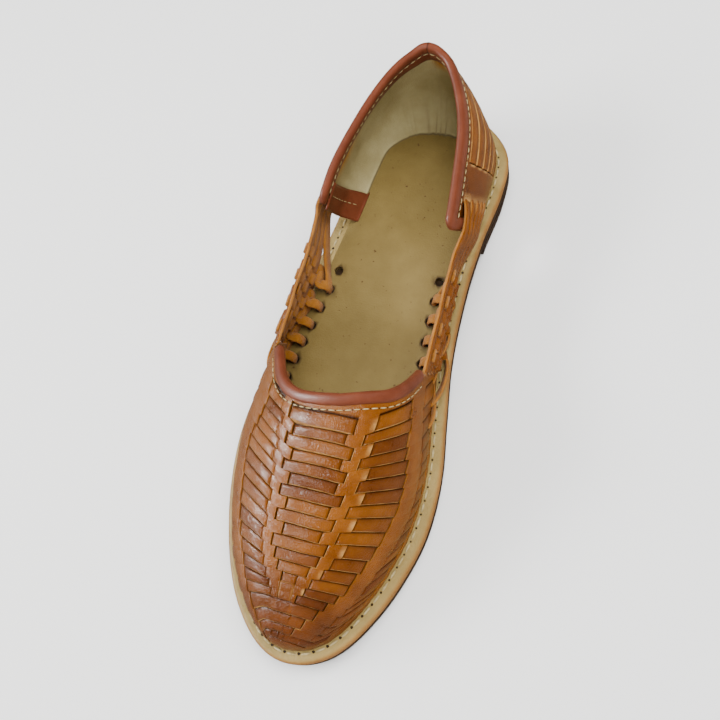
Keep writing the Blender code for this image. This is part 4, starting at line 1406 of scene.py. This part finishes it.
# The side straps: the counter's five strips carry on forwards, suede side in. The lowest drops to the
# second lacing hole. The rest run to the vamp, and laces from the holes are braided up through them.
STRAPS_LOW = 0.36
STRAPS_HIGH = 0.86
STRAP_GAP = 0.24
STRAP_BULGE = {LATERAL: 0.003, MEDIAL: 0.0004}
STRAP_LANDING = 0.42
STRAP_FALL = 1.2
STRAP_THICK = 0.0016
LONG_STEPS = 70
LACE_WIDTH = 0.0042
LACE_THICK = 0.0013
LACE_SWAY = 0.0017
LACE_STEPS = 60
LACE_LOOP = ((0.0, -0.0016), (0.0002, 0.0020), (0.0020, 0.0042), (0.0045, 0.0046))


def weave_edge(turn, nudge=0.0):
    along = rear_along(turn) + nudge
    return vamp_point(along, turn)


def strap_wall(side):
    """The surface of one side's straps: place runs from the counter to the vamp, share from low to high."""
    reach = BINDING_WIDTH + 3 * GAP
    start_along = along_of(counter_grid(side, STRAPS_LOW).y) + reach / LENGTH
    end_along = rear_along(1.0)

    def start(share):
        rise = STRAPS_LOW + (STRAPS_HIGH - STRAPS_LOW) * share
        forward = (counter_grid(side, rise) - counter_grid(side * 0.99, rise)).normalized()
        return counter_grid(side, rise) + forward * reach

    def end(share):
        turn = side * (1 - (1 - THROAT_CORNER - 0.012) * share)
        back = (weave_edge(turn) - weave_edge(turn, 0.004)).normalized()
        return weave_edge(turn) + back * 2 * GAP

    def foot(place):
        along = start_along + (end_along - start_along) * place
        x, y = foot_edge(side * angle_of(along))
        return Vector((x, y, upper_foot(along)))

    def low_line(place):
        left = max(1 - place / STRAP_LANDING, 0.0) ** STRAP_FALL
        arrive = max(place - 0.8, 0.0) / 0.2
        return foot(place) + (start(0.0) - foot(0.0)) * left + (end(0.0) - foot(1.0)) * arrive

    start_high, end_high = start(1.0), end(1.0)

    def point(place, share):
        top = start_high.lerp(end_high, place)
        base = low_line(place).lerp(top, share)
        across = start(share).lerp(end(share), place)
        mix = (1 - place) * max(1 - place * 4, 0.0) + max(place * 4 - 3, 0.0)
        bulge = STRAP_BULGE[side] * 4 * share * (1 - share) * 4 * place * (1 - place)
        return base.lerp(across, mix) + Vector((side * bulge, 0, 0))

    return point


def wall_normal(wall, side, place, share):
    nudge = 0.01
    place = min(max(place, nudge), 1 - nudge)
    share = min(max(share, nudge), 1 - nudge)
    ahead = wall(place + nudge, share) - wall(place - nudge, share)
    up = wall(place, share + nudge) - wall(place, share - nudge)
    return (up.cross(ahead) * side).normalized()


def curve_through(points, steps):
    """Smooth points through a list of vectors."""
    runs = [0.0]
    for a, b in zip(points, points[1:]):
        runs.append(runs[-1] + max((b - a).length, 1e-6))
    columns = [[p[axis] for p in points] for axis in range(3)]
    return [Vector([smooth(runs, column, runs[-1] * i / steps) for column in columns])
            for i in range(steps + 1)]


def curve_through_values(values, points, steps):
    runs = [0.0]
    for a, b in zip(points, points[1:]):
        runs.append(runs[-1] + max((b - a).length, 1e-6))
    columns = [[v[axis] for v in values] for axis in range(3)]
    return [Vector([float(np.interp(runs[-1] * i / steps, runs, column)) for column in columns])
            for i in range(steps + 1)]


STRIP_SECTION = ((-0.5, -0.25), (-0.42, -0.5), (0.0, -0.5), (0.42, -0.5), (0.5, -0.25), (0.5, 0.25),
                 (0.42, 0.5), (0.0, 0.5), (-0.42, 0.5), (-0.5, 0.25))


def add_strip(bag, centres, faces_out, width, thick):
    """Adds a flat strip along centres: faces_out is its face's direction at each, outer half marked."""
    verts, faces, outer_faces = bag
    first = len(verts)
    last = len(centres) - 1
    for i, (centre, out) in enumerate(zip(centres, faces_out)):
        run = centres[min(i + 1, last)] - centres[max(i - 1, 0)]
        aside = run.cross(out).normalized()
        out = aside.cross(run).normalized()
        wide = width[i] if isinstance(width, list) else width
        verts += [centre + aside * across * wide + out * deep * thick for across, deep in STRIP_SECTION]
    count = len(STRIP_SECTION)
    for i in range(last):
        for j in range(count):
            k = (j + 1) % count
            if 5 <= j <= 8:
                outer_faces.append(len(faces))
            faces.append((first + i * count + j, first + i * count + k,
                          first + (i + 1) * count + k, first + (i + 1) * count + j))
    faces.append(tuple(first + j for j in reversed(range(count))))
    faces.append(tuple(first + last * count + j for j in range(count)))


def strips_piece(name, bag, replaced=()):
    verts, faces, outer_faces = bag
    marks = {"crease": [0.0] * len(verts), "raw": [0.0] * len(verts), "tone": [0.3] * len(verts)}
    piece = new_piece(name, verts, faces, tan_suede, marks, replaced)
    piece.data.materials.append(woven_leather)
    for index in outer_faces:
        piece.data.polygons[index].material_index = 1
    return piece


def strap_width(wall, place, width_share):
    height = (wall(min(place, 0.98), 1.0) - wall(min(place, 0.98), 0.0)).length
    return max(min(height * width_share * 1.08, 0.0066), 0.0042)


def make_side(side, name):
    wall = strap_wall(side)
    wobble = random.Random(11 + side)
    long_bag, lace_bag = ([], [], []), ([], [], [])
    pitch = (STRIPS_HIGH - STRIPS_LOW) / COUNTER_STRIPS
    width_share = 1 / (COUNTER_STRIPS + (COUNTER_STRIPS - 1) * STRAP_GAP)
    for strip in range(COUNTER_STRIPS):
        share = width_share * (strip * (1 + STRAP_GAP) + 0.5)
        rise_back = STRIPS_LOW + pitch * (strip + 0.5)
        rise_front = STRAPS_LOW + (STRAPS_HIGH - STRAPS_LOW) * share
        knots, outs = [], []
        for turn, out_by in ((FRONT_SLIT - 0.01, -0.0004), (FRONT_SLIT + 0.02, 0.0008), (1.0, 0.0017)):
            blend_rise = (turn - FRONT_SLIT) / (1 - FRONT_SLIT)
            rise = rise_back + (rise_front - rise_back) * max(blend_rise, 0.0)
            normal = counter_normal(side * turn, rise)
            knots.append(counter_grid(side * turn, rise) + normal * out_by)
            outs.append(normal)
        lifts = ((0.01, 0.0021), (0.08, 0.0012), (0.18, 0.0004))
        if strip == 0:
            hole = hole_place(side, 1)
            place, out_by = lifts[0]
            normal = wall_normal(wall, side, place, share)
            knots.append(wall(place, share) + normal * out_by)
            outs.append(normal)
            high = knots[-1]
            slack = Vector((side * 0.0015, 0, 0))
            for part in (0.35, 0.7, 0.93):
                knots.append(high.lerp(hole, part) + slack * math.sin(math.pi * part))
                outs.append((outs[-1] * 0.6 + Vector((side * 0.5, 0.25, 0.1))).normalized())
            knots.append(hole + Vector((0, 0, -0.0012)))
            outs.append(outs[-1])
        else:
            for place, out_by in lifts + tuple((0.30 + 0.1 * i, 0.0) for i in range(8)):
                normal = wall_normal(wall, side, place, share)
                knots.append(wall(place, share) + normal * (out_by + wobble.uniform(-0.0002, 0.0002)))
                outs.append(normal)
        centres = curve_through(knots, LONG_STEPS)
        directions = [out.normalized() for out in curve_through_values(outs, knots, LONG_STEPS)]
        long_widths = [strap_width(wall, i / LONG_STEPS, width_share) for i in range(LONG_STEPS + 1)]
        add_strip(long_bag, centres, directions, long_widths, STRAP_THICK)
    strips_piece(name + "_long", long_bag, (name + "_straps",))
    for number in range(1, HOLES):
        hole = hole_place(side, number)
        place = 0.40 + 0.565 * (number - 1) / (HOLES - 2)
        odd = number % 2
        knots = [hole + Vector((side * out_by, 0, up_by)) for out_by, up_by in LACE_LOOP]
        outs = [Vector((side, 0, tip)).normalized() for tip in (0.0, -0.1, -0.8, -1.2)]
        for step in range(6):
            share = 0.10 + step * 0.15
            lean = place - 0.02 * step
            normal = wall_normal(wall, side, lean, share)
            sway = -LACE_SWAY if (step + odd) % 2 else LACE_SWAY
            knots.append(wall(lean, share) + normal * sway)
            outs.append(normal)
        centres = curve_through(knots, LACE_STEPS)
        directions = [out.normalized() for out in curve_through_values(outs, knots, LACE_STEPS)]
        widths = [LACE_WIDTH * (1 + 0.35 * min(i / 20, 1.0)) for i in range(LACE_STEPS + 1)]
        add_strip(lace_bag, centres, directions, widths, LACE_THICK)
    strips_piece(name + "_laces", lace_bag)


make_side(LATERAL, "lateral")
make_side(MEDIAL, "medial")
